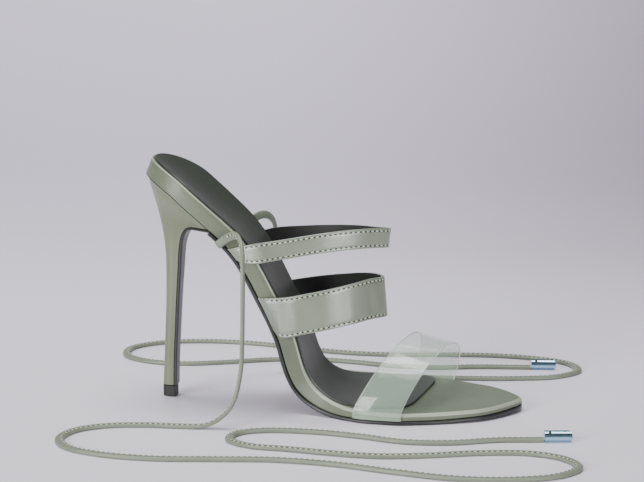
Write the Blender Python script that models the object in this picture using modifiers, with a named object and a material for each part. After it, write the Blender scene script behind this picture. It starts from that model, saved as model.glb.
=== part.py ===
"""Strappy stiletto sandal, a right shoe, standing empty on its sole.

X runs from heel to toe, Y towards the inner side of the foot (the wearer's left), Z up.
All sizes below are in millimetres and the model is made in metres. While the pieces are
worked out, the origin is on the floor under the heel stem; at the end everything moves so
that the origin is under the middle of the shoe.
"""

import math
from collections import namedtuple

import bmesh
import bpy
import numpy as np
from mathutils import Matrix, Vector

MM = 0.001
COLLECTION = "strappy_heeled_sandal"

# Driving sizes of the sole
LENGTH = 191.4            # rim at the back of the heel to toe tip, seen from above
SEAT_RISE = 121.8         # rim at the back of the heel above the rim at the ball
BALL_WIDTH = 78.6         # insole board across the ball
BOARD_THICK = 8.6         # wrapped board at the heel and waist
BALL_THICK = 3.6          # wrapped board at the ball
CUP_DEPTH = 2.6           # hollow of the heel seat below its rim
SEAT_ROUND = 28.0         # length of the round back end of the board
TOE_ROUND = 22.0          # length of the round toe end of the board
OUTSOLE_THICK = 1.7
OUTSOLE_EDGE = 0.9        # the outsole stands out past the board
FLAP_THICK = 1.3          # outsole leather on the front of the heel
SOCK_THICK = 0.9
SOCK_INSET = 1.5          # bare rim around the sock
SOCK_BALL_INSET = 7.5     # more bare rim on the outer side of the ball
SOCK_BALL_FROM = 0.60     # shares of the sole's surface length where it begins and is full
SOCK_BALL_TO = 0.78
SOCK_FRONT = 0.8015       # share of the sole's surface length that the sock covers
SOCK_SLANT = 0.0158       # further forward on the inner side, the same share
SOCK_CORNER = 0.022       # how far the front's corners fall back, the same share
SOCK_CORNER_POWER = 7.0
GAP = 0.3                 # clearance between pieces that touch on the real shoe
END_LIFT = 0.35           # the straps' ends stop this far above the board's underside

# Driving sizes of the heel
SEAT_OVERHANG = 7.4       # rim at the back of the heel behind the stem's middle
STEM_WIDTH = 8.6          # across the stem half way up
STEM_DEPTH = 7.0          # stem from back to front, half way up
TIP_HEIGHT = 6.0
TIP_LENGTH = 7.2
TIP_WIDTH = 7.4

# Driving sizes of the straps
STRAP_THICK = 1.6
NARROW_WIDTH = 10.1
WIDE_WIDTH = 20.6
CLEAR_THICK = 1.0
CLEAR_HEIGHT = 31.4       # crown of the clear strap above the rim at the ball

# Driving sizes of the ties
TIE_DIAMETER = 4.2
AGLET_LENGTH = 13.5
AGLET_DIAMETER = 5.6
AGLET_SLANT = 2.6

END_CUT = 0.12            # the round ends are cut this short
SEAT_START = 0.4          # the heel's seat starts this far in from the board's end
EDGE_TOP = 0.12           # the board's side between its rounded edges, shares of its
EDGE_BOTTOM = 0.90        # thickness below the rim
LIP_CLEAR = 1.5           # shortest stretch between the lip and the outsole's next section

# Where a section has its points, as shares of its half width or of its depth
BOARD_TOP_SPOTS = (-0.97, -0.86, -0.6, -0.3, 0.0, 0.3, 0.6, 0.86, 0.97)
BOARD_UNDER_SPOTS = (0.97, 0.5, 0.0, -0.5, -0.97)
HEEL_SPOTS = (0.004, 0.05, 0.13, 0.25, 0.40, 0.58, 0.78, 1.0)

# An edge stays sharp where its faces turn by more degrees than this
SHARP_TURN = 35.0
AGLET_SHARP_TURN = 40.0

# Counts of sections and points
SOLE_SECTIONS = 50
STATION_BLEND = 0.55      # how much closer together the sections lie near both ends
SOCK_SECTIONS = 32
HEEL_SECTIONS = 22
FLAP_SECTIONS = 25
TIP_SIDES = 12
STRAP_SECTIONS = 40
STRAP_COLUMNS = 5
ARCH_POINTS = 15
TIE_POINTS = 78
AGLET_SIDES = 14

# The sole's stations, from the back of the heel to the toe.
# along: share of LENGTH; rise: share of SEAT_RISE above the rim at the ball;
# outer, inner: half widths as shares of BALL_WIDTH; thick: where the board is between
# BALL_THICK (0) and BOARD_THICK (1); cup: share of CUP_DEPTH
SoleRow = namedtuple("SoleRow", "along rise outer inner thick cup")
SOLE_ROWS = [
    SoleRow(0.000, 1.000, 0.310, 0.310, 1.02, 0.20),
    SoleRow(0.039, 0.974, 0.315, 0.315, 1.02, 0.70),
    SoleRow(0.100, 0.918, 0.322, 0.320, 1.00, 1.00),
    SoleRow(0.142, 0.863, 0.325, 0.320, 1.00, 1.00),
    SoleRow(0.182, 0.808, 0.320, 0.315, 1.00, 0.90),
    SoleRow(0.218, 0.758, 0.312, 0.304, 0.99, 0.70),
    SoleRow(0.246, 0.716, 0.304, 0.290, 0.98, 0.55),
    SoleRow(0.284, 0.646, 0.292, 0.268, 0.97, 0.40),
    SoleRow(0.314, 0.571, 0.285, 0.250, 0.96, 0.30),
    SoleRow(0.358, 0.440, 0.282, 0.238, 0.96, 0.25),
    SoleRow(0.386, 0.353, 0.281, 0.238, 0.97, 0.25),
    SoleRow(0.408, 0.272, 0.283, 0.244, 0.99, 0.25),
    SoleRow(0.431, 0.156, 0.291, 0.262, 1.00, 0.30),
    SoleRow(0.447, 0.103, 0.299, 0.284, 0.97, 0.30),
    SoleRow(0.469, 0.064, 0.318, 0.318, 0.82, 0.25),
    SoleRow(0.498, 0.034, 0.350, 0.372, 0.58, 0.20),
    SoleRow(0.527, 0.017, 0.388, 0.424, 0.38, 0.10),
    SoleRow(0.560, 0.008, 0.428, 0.470, 0.22, 0.05),
    SoleRow(0.621, 0.002, 0.474, 0.510, 0.06, 0.00),
    SoleRow(0.692, 0.000, 0.482, 0.520, 0.00, 0.00),
    SoleRow(0.749, 0.001, 0.455, 0.505, 0.00, 0.00),
    SoleRow(0.812, 0.002, 0.402, 0.452, 0.00, 0.00),
    SoleRow(0.880, 0.004, 0.330, 0.366, -0.04, 0.00),
    SoleRow(0.941, 0.006, 0.252, 0.292, -0.08, 0.00),
    SoleRow(1.000, 0.009, 0.136, 0.184, -0.12, 0.00),
]

# The heel's sections, from the tip up to the seat.
# back_x, back_z and front_x, front_z: the ends of the section, x as shares of STEM_DEPTH
# from the stem's middle and z as shares of the lip's height; half: share of STEM_WIDTH;
# seat: 0 where the section is the stem's, 1 where it is the seat's
HeelRow = namedtuple("HeelRow", "back_x back_z front_x front_z half seat")
HEEL_ROWS = [
    HeelRow(-0.57, 0.073, 0.32, 0.073, 0.41, 0.00),
    HeelRow(-0.47, 0.200, 0.36, 0.200, 0.42, 0.00),
    HeelRow(-0.35, 0.400, 0.50, 0.400, 0.45, 0.00),
    HeelRow(-0.25, 0.580, 0.64, 0.580, 0.48, 0.00),
    HeelRow(-0.22, 0.760, 0.80, 0.750, 0.53, 0.02),
    HeelRow(-0.30, 0.880, 0.92, 0.868, 0.60, 0.05),
    HeelRow(-0.46, 0.970, 1.16, 0.940, 0.74, 0.12),
    HeelRow(-0.68, 1.050, 1.60, 0.985, 0.95, 0.25),
    HeelRow(-0.94, 1.130, 2.20, 0.998, 1.30, 0.42),
    HeelRow(-1.20, 1.205, 2.90, 1.000, 1.72, 0.62),
    HeelRow(-1.44, 1.280, 3.60, 1.000, 2.12, 0.82),
]
LIP_ALONG = 0.199         # share of the sole's surface length where the heel's lip ends
STEM_ROUND = 0.62         # share of a stem section that is round

# Where the straps leave the sole, as shares of the sole's surface length.
# outer, inner: the two sides; rear, fore: the strap's two edges
Anchor = namedtuple("Anchor", "outer_rear outer_fore inner_rear inner_fore")
NARROW_ANCHOR = Anchor(0.252, 0.286, 0.256, 0.290)
WIDE_ANCHOR = Anchor(0.376, 0.452, 0.378, 0.454)
CLEAR_ANCHOR = Anchor(0.681, 0.776, 0.752, 0.846)

# The straps' edges between their anchors, from the outer side over the crown to the inner.
# ahead: x as share of LENGTH from the back; across: y as share of BALL_WIDTH, inner side
# positive; up: z as share of SEAT_RISE above the rim at the ball
EdgeRow = namedtuple("EdgeRow", "ahead across up")
NARROW_UPPER = [
    EdgeRow(0.300, -0.326, 0.668),
    EdgeRow(0.383, -0.321, 0.691),
    EdgeRow(0.467, -0.280, 0.713),
    EdgeRow(0.542, -0.200, 0.724),
    EdgeRow(0.600, -0.102, 0.724),
    EdgeRow(0.638, 0.004, 0.716),
    EdgeRow(0.603, 0.108, 0.706),
    EdgeRow(0.542, 0.206, 0.700),
    EdgeRow(0.467, 0.284, 0.690),
    EdgeRow(0.383, 0.321, 0.678),
    EdgeRow(0.300, 0.322, 0.664),
]
WIDE_UPPER = [
    EdgeRow(0.380, -0.318, 0.447),
    EdgeRow(0.440, -0.324, 0.466),
    EdgeRow(0.500, -0.290, 0.485),
    EdgeRow(0.556, -0.214, 0.502),
    EdgeRow(0.594, -0.118, 0.511),
    EdgeRow(0.621, 0.004, 0.508),
    EdgeRow(0.595, 0.126, 0.504),
    EdgeRow(0.556, 0.216, 0.494),
    EdgeRow(0.500, 0.286, 0.478),
    EdgeRow(0.440, 0.315, 0.463),
    EdgeRow(0.380, 0.306, 0.448),
]
NARROW_LEAN = -1.0        # the lower edge lies behind the upper one at the crown
WIDE_LEAN = 1.8           # the lower edge lies ahead of the upper one at the crown
CLEAR_BOW = 1.9           # exponent of the clear strap's arch: 2 is round, more is squarer
CLEAR_SWEEP = 1.0         # exponent of the arch's lean: 1 is even, more stays upright longer
CLEAR_REAR_CROWN = 0.700  # share of LENGTH
CLEAR_FRONT_CROWN = 0.802
CLEAR_FRONT_DROP = 0.86   # height of the front edge's crown as share of CLEAR_HEIGHT

# The ties' routes, chosen by hand: x from the heel stem, y to the inner side, z up
TIE_LOW = 2.2             # middle of a tie above the floor where it lies
TIE_OUTER_ROUTE = [
    (33.0, -27.3, 86.5), (37.2, -28.4, 89.7), (43.0, -33.2, 92.3), (47.5, -40.5, 89.4),
    (49.8, -48.0, 80.0), (50.4, -51.0, 65.0), (50.4, -52.5, 45.0), (49.6, -54.5, 26.0),
    (45.5, -57.5, 11.0), (35.0, -60.5, 3.4), (20.0, -62.0, TIE_LOW), (2.0, -63.0, TIE_LOW),
    (-16.0, -68.0, TIE_LOW), (-28.5, -79.0, TIE_LOW), (-31.0, -94.0, TIE_LOW),
    (-22.0, -108.0, TIE_LOW), (-3.0, -116.0, TIE_LOW), (22.0, -118.0, TIE_LOW),
    (50.0, -114.0, TIE_LOW), (78.0, -110.0, TIE_LOW), (107.0, -112.0, TIE_LOW),
    (136.0, -119.0, TIE_LOW), (164.0, -124.0, TIE_LOW), (191.0, -121.0, TIE_LOW),
    (211.0, -111.0, TIE_LOW), (218.0, -97.0, TIE_LOW), (210.0, -84.0, TIE_LOW),
    (193.0, -78.5, TIE_LOW), (171.0, -82.0, TIE_LOW), (148.0, -90.0, TIE_LOW),
    (125.0, -95.5, TIE_LOW), (102.0, -94.5, TIE_LOW), (81.0, -91.5, TIE_LOW),
    (62.0, -89.5, TIE_LOW), (50.5, -81.5, TIE_LOW), (50.5, -70.5, TIE_LOW), (61.0, -62.5, TIE_LOW),
    (86.0, -60.0, TIE_LOW), (110.0, -63.5, TIE_LOW), (134.0, -69.5, TIE_LOW),
    (156.0, -67.0, TIE_LOW), (177.0, -58.5, TIE_LOW), (199.0, -54.0, TIE_LOW),
]
TIE_INNER_ROUTE = [
    (33.0, 26.25, 86.5), (37.2, 27.4, 89.7), (42.6, 32.8, 92.1), (46.0, 40.5, 89.2),
    (47.0, 48.0, 80.0), (46.4, 51.0, 65.0), (45.0, 52.5, 45.0), (45.0, 54.5, 26.0),
    (49.5, 57.5, 11.0), (60.0, 60.5, 3.4), (76.0, 61.5, TIE_LOW), (98.0, 59.0, TIE_LOW),
    (122.0, 57.0, TIE_LOW), (148.0, 59.0, TIE_LOW), (174.0, 63.0, TIE_LOW), (197.0, 71.0, TIE_LOW),
    (208.0, 86.0, TIE_LOW), (202.0, 102.0, TIE_LOW), (184.0, 111.0, TIE_LOW),
    (160.0, 114.0, TIE_LOW), (132.0, 111.0, TIE_LOW), (104.0, 106.0, TIE_LOW),
    (76.0, 106.0, TIE_LOW), (48.0, 112.0, TIE_LOW), (20.0, 119.0, TIE_LOW), (-8.0, 120.0, TIE_LOW),
    (-34.0, 112.0, TIE_LOW), (-48.0, 96.0, TIE_LOW), (-46.0, 78.0, TIE_LOW), (-31.0, 66.0, TIE_LOW),
    (-10.0, 64.0, TIE_LOW), (12.0, 71.0, TIE_LOW), (34.0, 81.0, TIE_LOW), (58.0, 87.0, TIE_LOW),
    (82.0, 85.0, TIE_LOW), (106.0, 80.0, TIE_LOW), (130.0, 80.0, TIE_LOW), (152.0, 86.0, TIE_LOW),
    (182.0, 90.0, TIE_LOW),
]

BALL_TOP = BALL_THICK + GAP + OUTSOLE_THICK


def clear_scene():
    """Remove the objects that a new file starts with."""
    for obj in list(bpy.data.objects):
        bpy.data.objects.remove(obj, do_unlink=True)


def material(name, colour, roughness, metallic=0.0, alpha=1.0):
    """A Principled material with the piece's plain look."""
    mat = bpy.data.materials.new(name)
    mat.use_nodes = True
    shader = mat.node_tree.nodes["Principled BSDF"]
    shader.inputs["Base Color"].default_value = (*colour, 1.0)
    shader.inputs["Roughness"].default_value = roughness
    shader.inputs["Metallic"].default_value = metallic
    shader.inputs["Alpha"].default_value = alpha
    mat.diffuse_color = (*colour, alpha)
    return mat


def smooth(xs, ys, x):
    """A cubic through a table that never swings past its neighbours' values."""
    xs = np.asarray(xs, float)
    ys = np.asarray(ys, float)
    x = np.asarray(x, float)
    step = np.diff(xs)
    slope = np.diff(ys) / step
    tangent = np.empty_like(ys)
    tangent[0] = slope[0]
    tangent[-1] = slope[-1]
    before, after = slope[:-1], slope[1:]
    same_way = before * after > 0
    weight_a = 2 * step[1:] + step[:-1]
    weight_b = step[1:] + 2 * step[:-1]
    with np.errstate(divide="ignore", invalid="ignore"):
        mean = (weight_a + weight_b) / (weight_a / before + weight_b / after)
    tangent[1:-1] = np.where(same_way, mean, 0.0)
    i = np.clip(np.searchsorted(xs, x) - 1, 0, len(step) - 1)
    t = (x - xs[i]) / step[i]
    h = step[i]
    rise = (2 * t**3 - 3 * t**2 + 1) * ys[i] + (3 * t**2 - 2 * t**3) * ys[i + 1]
    bend = (t**3 - 2 * t**2 + t) * h * tangent[i] + (t**3 - t**2) * h * tangent[i + 1]
    return rise + bend


def curve_through(points, count):
    """Points at even distances on a smooth curve through the given points."""
    pts = np.asarray(points, float)
    first = 2 * pts[0] - pts[1]
    last = 2 * pts[-1] - pts[-2]
    ends = np.vstack([first, pts, last])
    knots = np.concatenate([[0.0], np.cumsum(np.linalg.norm(np.diff(ends, axis=0), axis=1) ** 0.5)])
    fine = []
    for i in range(1, len(ends) - 2):
        for t in np.linspace(knots[i], knots[i + 1], 24, endpoint=False):
            fine.append(catmull_rom(ends[i - 1:i + 3], knots[i - 1:i + 3], t))
    fine.append(pts[-1])
    fine = np.array(fine)
    run = np.concatenate([[0.0], np.cumsum(np.linalg.norm(np.diff(fine, axis=0), axis=1))])
    even = np.linspace(0.0, run[-1], count)
    return np.column_stack([np.interp(even, run, fine[:, axis]) for axis in range(3)])


def catmull_rom(p, k, t):
    """One point of the centripetal curve through four points at the knots k."""
    a1 = (k[1] - t) / (k[1] - k[0]) * p[0] + (t - k[0]) / (k[1] - k[0]) * p[1]
    a2 = (k[2] - t) / (k[2] - k[1]) * p[1] + (t - k[1]) / (k[2] - k[1]) * p[2]
    a3 = (k[3] - t) / (k[3] - k[2]) * p[2] + (t - k[2]) / (k[3] - k[2]) * p[3]
    b1 = (k[2] - t) / (k[2] - k[0]) * a1 + (t - k[0]) / (k[2] - k[0]) * a2
    b2 = (k[3] - t) / (k[3] - k[1]) * a2 + (t - k[1]) / (k[3] - k[1]) * a3
    return (k[2] - t) / (k[2] - k[1]) * b1 + (t - k[1]) / (k[2] - k[1]) * b2


class Sole:
    """The board's top surface, bent along the side profile, and what is measured from it."""

    def __init__(self):
        x = np.array([row.along for row in SOLE_ROWS]) * LENGTH - SEAT_OVERHANG
        z = np.array([row.rise for row in SOLE_ROWS]) * SEAT_RISE + BALL_TOP
        chord = np.concatenate([[0.0], np.cumsum(np.hypot(np.diff(x), np.diff(z)))])
        fine = np.linspace(0.0, chord[-1], 600)
        self.x = smooth(chord, x, fine)
        self.z = smooth(chord, z, fine)
        run = np.concatenate([[0.0], np.cumsum(np.hypot(np.diff(self.x), np.diff(self.z)))])
        self.length = run[-1]
        self.run = run
        self.dx = np.gradient(self.x, run)
        self.dz = np.gradient(self.z, run)
        self.columns = {}
        for name in ("outer", "inner", "thick", "cup"):
            self.columns[name] = smooth(chord, [getattr(row, name) for row in SOLE_ROWS], fine)

    def value(self, name, s):
        return float(np.interp(s, self.run, self.columns[name]))

    def place(self, s):
        """Point on the rim line at the surface length s, its direction and its normal."""
        point = np.array([np.interp(s, self.run, self.x), np.interp(s, self.run, self.z)])
        way = np.array([np.interp(s, self.run, self.dx), np.interp(s, self.run, self.dz)])
        way /= np.linalg.norm(way)
        return point, way, np.array([-way[1], way[0]])

    def end_round(self, s):
        """Share of the full width that the round ends leave at s."""
        heel = min(max(s / SEAT_ROUND, 0.0), 1.0)
        toe = min(max((self.length - s) / TOE_ROUND, 0.0), 1.0)
        return math.sqrt(1 - (1 - heel) ** 2) * math.sqrt(1 - (1 - toe) ** 2)

    def sides(self, s, outset=0.0):
        """y of the outer and the inner side of the board at s, moved out by outset."""
        middle = (self.value("inner", s) - self.value("outer", s)) / 2 * BALL_WIDTH
        half = (self.value("inner", s) + self.value("outer", s)) / 2 * BALL_WIDTH
        half = half * self.end_round(s) + outset
        return middle - half, middle + half

    def thick(self, s):
        return BALL_THICK + (BOARD_THICK - BALL_THICK) * self.value("thick", s)

    def point(self, s, y, depth):
        """Point under the rim line at s, across y, depth below the rim."""
        spot, _, normal = self.place(s)
        spot = spot - normal * depth
        return np.array([spot[0], y, spot[1]])

    def below(self, s, depth):
        """Side view point (x, z) at a depth below the board's underside at s."""
        spot = self.point(s, 0.0, self.thick(s) + depth)
        return np.array([spot[0], spot[2]])

    def stations(self, start, end, count):
        """Surface lengths that lie closer together towards both ends."""
        share = (1 - np.cos(np.linspace(0.0, math.pi, count))) / 2
        share = STATION_BLEND * share + (1 - STATION_BLEND) * np.linspace(0.0, 1.0, count)
        return start + (end - start) * share


def make_object(name, verts, faces, mat, collection):
    """A mesh object from points in millimetres."""
    mesh = bpy.data.meshes.new(name)
    mesh.from_pydata([tuple(np.asarray(v, float) * MM) for v in verts], [], faces)
    mesh.materials.append(mat)
    fix = bmesh.new()
    fix.from_mesh(mesh)
    bmesh.ops.remove_doubles(fix, verts=fix.verts, dist=1e-6)
    if fix.calc_volume(signed=True) < 0:
        bmesh.ops.reverse_faces(fix, faces=fix.faces)
    fix.to_mesh(mesh)
    fix.free()
    mesh.shade_smooth()
    mesh.set_sharp_from_angle(angle=math.radians(SHARP_TURN))
    obj = bpy.data.objects.new(name, mesh)
    collection.objects.link(obj)
    return obj


def loft(name, rings, mat, collection):
    """A closed body through rings with equal numbers of points."""
    size = len(rings[0])
    verts = [point for ring in rings for point in ring]
    faces = []
    for i in range(len(rings) - 1):
        for j in range(size):
            a = i * size + j
            b = i * size + (j + 1) % size
            faces.append((a, b, b + size, a + size))
    faces.append(tuple(range(size))[::-1])
    faces.append(tuple((len(rings) - 1) * size + j for j in range(size)))
    return make_object(name, verts, faces, mat, collection)


def board_ring(sole, s):
    """Section of the wrapped board: cupped top, slightly rounded sides, flat underside."""
    low, high = sole.sides(s)
    thick = sole.thick(s)
    cup = sole.value("cup", s) * CUP_DEPTH * sole.end_round(s)
    middle, half = (low + high) / 2, (high - low) / 2
    ring = []
    for u in BOARD_TOP_SPOTS:
        ring.append(sole.point(s, middle + half * u, cup * (1 - u * u)))
    ring.append(sole.point(s, high, thick * EDGE_TOP))
    ring.append(sole.point(s, high, thick * EDGE_BOTTOM))
    for u in BOARD_UNDER_SPOTS:
        ring.append(sole.point(s, middle + half * u, thick))
    ring.append(sole.point(s, low, thick * EDGE_BOTTOM))
    ring.append(sole.point(s, low, thick * EDGE_TOP))
    return ring


def board_stations(sole):
    """Surface lengths of the board's sections, which the outsole shares."""
    return sole.stations(END_CUT, sole.length - END_CUT, SOLE_SECTIONS)


def insole_board(sole, mat, collection):
    rings = [board_ring(sole, s) for s in board_stations(sole)]
    return loft("insole_board", rings, mat, collection)


def sock_front(sole, u):
    """Surface length of the sock's front edge: slanted, with round corners."""
    straight = SOCK_FRONT + SOCK_SLANT * u
    return sole.length * (straight - SOCK_CORNER * abs(u) ** SOCK_CORNER_POWER)


def sock_sides(sole, s):
    """y of the sock's outer and inner side; the outer one draws in at the ball."""
    low, high = sole.sides(s, -SOCK_INSET)
    along = (s / sole.length - SOCK_BALL_FROM) / (SOCK_BALL_TO - SOCK_BALL_FROM)
    along = min(max(along, 0.0), 1.0)
    return low + SOCK_BALL_INSET * along * along * (3 - 2 * along), high


def sock(sole, mat, collection):
    """Thin lining on the board, from the heel to a slanted round end at the ball."""
    across = (-1.0, -0.95, -0.84, -0.6, -0.3, 0.0, 0.3, 0.6, 0.84, 0.95, 1.0)
    shares = sole.stations(0.0, 1.0, SOCK_SECTIONS)
    rings = []
    for share in shares:
        top, bottom = [], []
        for u in across:
            s = SOCK_INSET + (sock_front(sole, u) - SOCK_INSET) * share
            low, high = sock_sides(sole, s)
            board_low, board_high = sole.sides(s)
            board_half = (board_high - board_low) / 2
            y = (low + high) / 2 + (high - low) / 2 * u
            v = (y - (board_low + board_high) / 2) / board_half
            cup = sole.value("cup", s) * CUP_DEPTH * sole.end_round(s) * (1 - v * v)
            bottom.append(sole.point(s, y, cup - GAP))
            top.append(sole.point(s, y, cup - GAP - SOCK_THICK))
        rings.append(top + bottom[::-1])
    return loft("sock", rings, mat, collection)


class Heel:
    """The heel's sections, from its tip to the seat under the board."""

    def __init__(self, sole):
        self.sole = sole
        self.lip = LIP_ALONG * sole.length
        self.seat_front = sole.below(self.lip, GAP)
        self.lip_height = self.seat_front[1]
        level = np.linspace(0.0, 1.0, len(HEEL_ROWS) + 1)
        back = [(row.back_x * STEM_DEPTH, row.back_z * self.lip_height) for row in HEEL_ROWS]
        front = [(row.front_x * STEM_DEPTH, row.front_z * self.lip_height) for row in HEEL_ROWS]
        tip_top = TIP_HEIGHT + GAP
        back[0] = (back[0][0], tip_top)
        front[0] = (front[0][0], tip_top)
        self.seat_back = sole.below(SEAT_START, GAP)
        back.append(tuple(self.seat_back))
        front.append(tuple(self.seat_front))
        low, high = sole.sides(self.lip, -GAP)
        half = [row.half * STEM_WIDTH for row in HEEL_ROWS] + [(high - low) / 2]
        self.level = level
        self.back = np.array(back)
        self.front = np.array(front)
        self.half = np.array(half)
        self.seat = np.array([row.seat for row in HEEL_ROWS] + [1.0])

    def at(self, level):
        """Back point, front point, half width and seat share of the section at a level."""
        back = np.array([float(smooth(self.level, self.back[:, i], level)) for i in (0, 1)])
        front = np.array([float(smooth(self.level, self.front[:, i], level)) for i in (0, 1)])
        half = float(smooth(self.level, self.half, level))
        seat = float(smooth(self.level, self.seat, level))
        return back, front, half, seat

    def section(self, level):
        """Side view points and half widths of a section, from back to front."""
        back, front, half, seat = self.at(level)
        points, widths, middles = [], [], []
        for t in HEEL_SPOTS:
            straight = back + (front - back) * t
            s = SEAT_START + (self.lip - SEAT_START) * t
            on_seat = self.sole.below(s, GAP)
            chord = self.seat_back + (self.seat_front - self.seat_back) * t
            points.append(straight + (on_seat - chord) * seat)
            round_share = min(t / STEM_ROUND, 1.0)
            stem_half = half * math.sqrt(1 - (1 - round_share) ** 2)
            low, high = self.sole.sides(s, -GAP)
            lip_low, lip_high = self.sole.sides(self.lip, -GAP)
            seat_half = half * (high - low) / (lip_high - lip_low)
            widths.append(stem_half * (1 - seat) + seat_half * seat)
            middles.append((low + high) / 2 * seat)
        return points, widths, middles

    def ring(self, level):
        points, widths, middles = self.section(level)
        outer = [(p[0], m - w, p[1]) for p, w, m in zip(points, widths, middles)]
        inner = [(p[0], m + w, p[1]) for p, w, m in zip(points, widths, middles)]
        return outer + inner[::-1]


def heel(shape, mat, collection):
    levels = np.linspace(0.0, 1.0, HEEL_SECTIONS)
    return loft("heel", [shape.ring(level) for level in levels], mat, collection)


def heel_tip(mat, collection):
    """Rubber top piece: a D shape with its flat side to the front."""
    back = HEEL_ROWS[0].back_x * STEM_DEPTH
    outline = []
    for angle in np.linspace(0.0, math.pi, TIP_SIDES + 1):
        outline.append((back + TIP_WIDTH / 2 - TIP_WIDTH / 2 * math.sin(angle),
                        TIP_WIDTH / 2 * math.cos(angle)))
    outline.append((back + TIP_LENGTH, -TIP_WIDTH / 2))
    outline.append((back + TIP_LENGTH, TIP_WIDTH / 2))
    rings = [[(x, y, z) for x, y in outline] for z in (0.0, TIP_HEIGHT)]
    return loft("heel_tip", rings, mat, collection)


def outsole_path(sole, shape):
    """Upper line of the outsole in side view with its half widths and thickness."""
    rows = []
    shared = [s for s in board_stations(sole) if s > shape.lip + LIP_CLEAR]
    for along in shared[::-1] + [shape.lip]:
        upper = sole.below(along, GAP)
        lower = sole.below(along, GAP + OUTSOLE_THICK)
        low, high = sole.sides(along, OUTSOLE_EDGE)
        rows.append([upper, lower, low, high])
    return rows


def outsole(sole, shape, mat, collection):
    """Thin leather sole, bent under the lip of the heel and down the front of its stem."""
    rings = []
    for upper, lower, low, high in outsole_path(sole, shape):
        rings.append(outsole_ring(upper, lower, low, high))
    flap = []
    for level in np.linspace(1.0, 0.0, FLAP_SECTIONS + 1)[1:]:
        _, front, half, _ = shape.at(level)
        flap.append((front, half))
    for i, (front, half) in enumerate(flap):
        before = flap[max(i - 1, 0)][0]
        after = flap[min(i + 1, len(flap) - 1)][0]
        if i == 0:
            before = shape.seat_front
        way = (after - before) / np.linalg.norm(after - before)
        out = np.array([-way[1], way[0]])
        low_sole, high_sole = sole.sides(shape.lip, 0.0)
        middle = (low_sole + high_sole) / 2 * shape.at(1.0 - (i + 1) / len(flap))[3]
        upper = front + out * GAP
        lower = front + out * (GAP + FLAP_THICK)
        rings.append(outsole_ring(upper, lower, middle - half - GAP, middle + half + GAP))
    return loft("outsole", rings, mat, collection)


def outsole_ring(upper, lower, low, high):
    """Section of the outsole, flat above and below, no lower than the floor."""
    upper_z = upper[1]
    lower_z = max(lower[1], 0.0)
    middle = (low + high) / 2
    return [(upper[0], low, upper_z), (upper[0], middle, upper_z), (upper[0], high, upper_z),
            (lower[0], high, lower_z), (lower[0], middle, lower_z), (lower[0], low, lower_z)]


def frame_point(row):
    """A strap's table row as a point."""
    return np.array([row.ahead * LENGTH - SEAT_OVERHANG, row.across * BALL_WIDTH,
                     row.up * SEAT_RISE + BALL_TOP])


def anchor_point(sole, share, inner, lift=END_LIFT):
    """Point beside the board, clear of its side, at a height above its underside."""
    s = share * sole.length
    low, high = sole.sides(s, GAP)
    return sole.point(s, high if inner else low, sole.thick(s) - lift)


def rim_point(sole, share, inner):
    """Point beside the board at the height of its rim."""
    return anchor_point(sole, share, inner, sole.thick(share * sole.length))


def column_anchors(anchor, f):
    """Anchor shares of a strap's column, from its rear edge (0) to its fore edge (1)."""
    outer = anchor.outer_rear + (anchor.outer_fore - anchor.outer_rear) * f
    inner = anchor.inner_rear + (anchor.inner_fore - anchor.inner_rear) * f
    return outer, inner


def loop_column(sole, anchor, upper_rows, width, lean, f):
    """A strap's line at f across it, for a strap that runs forward round the instep."""
    outer, inner = column_anchors(anchor, f)
    crown = max(row.ahead for row in upper_rows)
    first = upper_rows[0].ahead
    points = [anchor_point(sole, outer, False)]
    for row in upper_rows:
        near_crown = (row.ahead - first) / (crown - first)
        points.append(frame_point(row) + np.array([lean * near_crown ** 3, 0.0, -width]) * f)
    points.append(anchor_point(sole, inner, True))
    return curve_through(points, STRAP_SECTIONS)


def arch_column(sole, anchor, f):
    """The clear strap's line at f across it: up the board's sides and over the toes."""
    outer, inner = column_anchors(anchor, f)
    start = rim_point(sole, outer, False)
    end = rim_point(sole, inner, True)
    crown_along = CLEAR_REAR_CROWN + (CLEAR_FRONT_CROWN - CLEAR_REAR_CROWN) * f
    crown_x = crown_along * LENGTH - SEAT_OVERHANG
    crown_z = BALL_TOP + CLEAR_HEIGHT * (1 - (1 - CLEAR_FRONT_DROP) * f)
    points = [anchor_point(sole, outer, False)]
    for angle in np.linspace(0.0, math.pi, ARCH_POINTS):
        across = -math.copysign(abs(math.cos(angle)) ** (2 / CLEAR_BOW), math.cos(angle))
        height = max(math.sin(angle), 0.0) ** (2 / CLEAR_BOW)
        foot = start + (end - start) * (across + 1) / 2
        x = foot[0] + (crown_x - (start[0] + end[0]) / 2) * height ** CLEAR_SWEEP
        z = foot[2] + (crown_z - (start[2] + end[2]) / 2) * height
        points.append((x, foot[1], z))
    points.append(anchor_point(sole, inner, True))
    return curve_through(points, STRAP_SECTIONS)


def strap(name, columns, thick, mat, collection):
    """A strap's wall through its lines, with the thickness on its outer side."""
    count = len(columns)
    verts = [point for row in zip(*columns) for point in row]
    faces = []
    for i in range(len(columns[0]) - 1):
        for k in range(count - 1):
            v = i * count + k
            faces.append((v, v + 1, v + count + 1, v + count))
    mesh = bpy.data.meshes.new(name)
    mesh.from_pydata([tuple(np.asarray(v, float) * MM) for v in verts], [], faces)
    mesh.materials.append(mat)
    mesh.shade_smooth()
    obj = bpy.data.objects.new(name, mesh)
    collection.objects.link(obj)
    wall = obj.modifiers.new("wall", "SOLIDIFY")
    wall.thickness = thick * MM
    wall.offset = 1.0
    wall.use_even_offset = True
    wall.use_rim = True
    return obj


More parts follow.
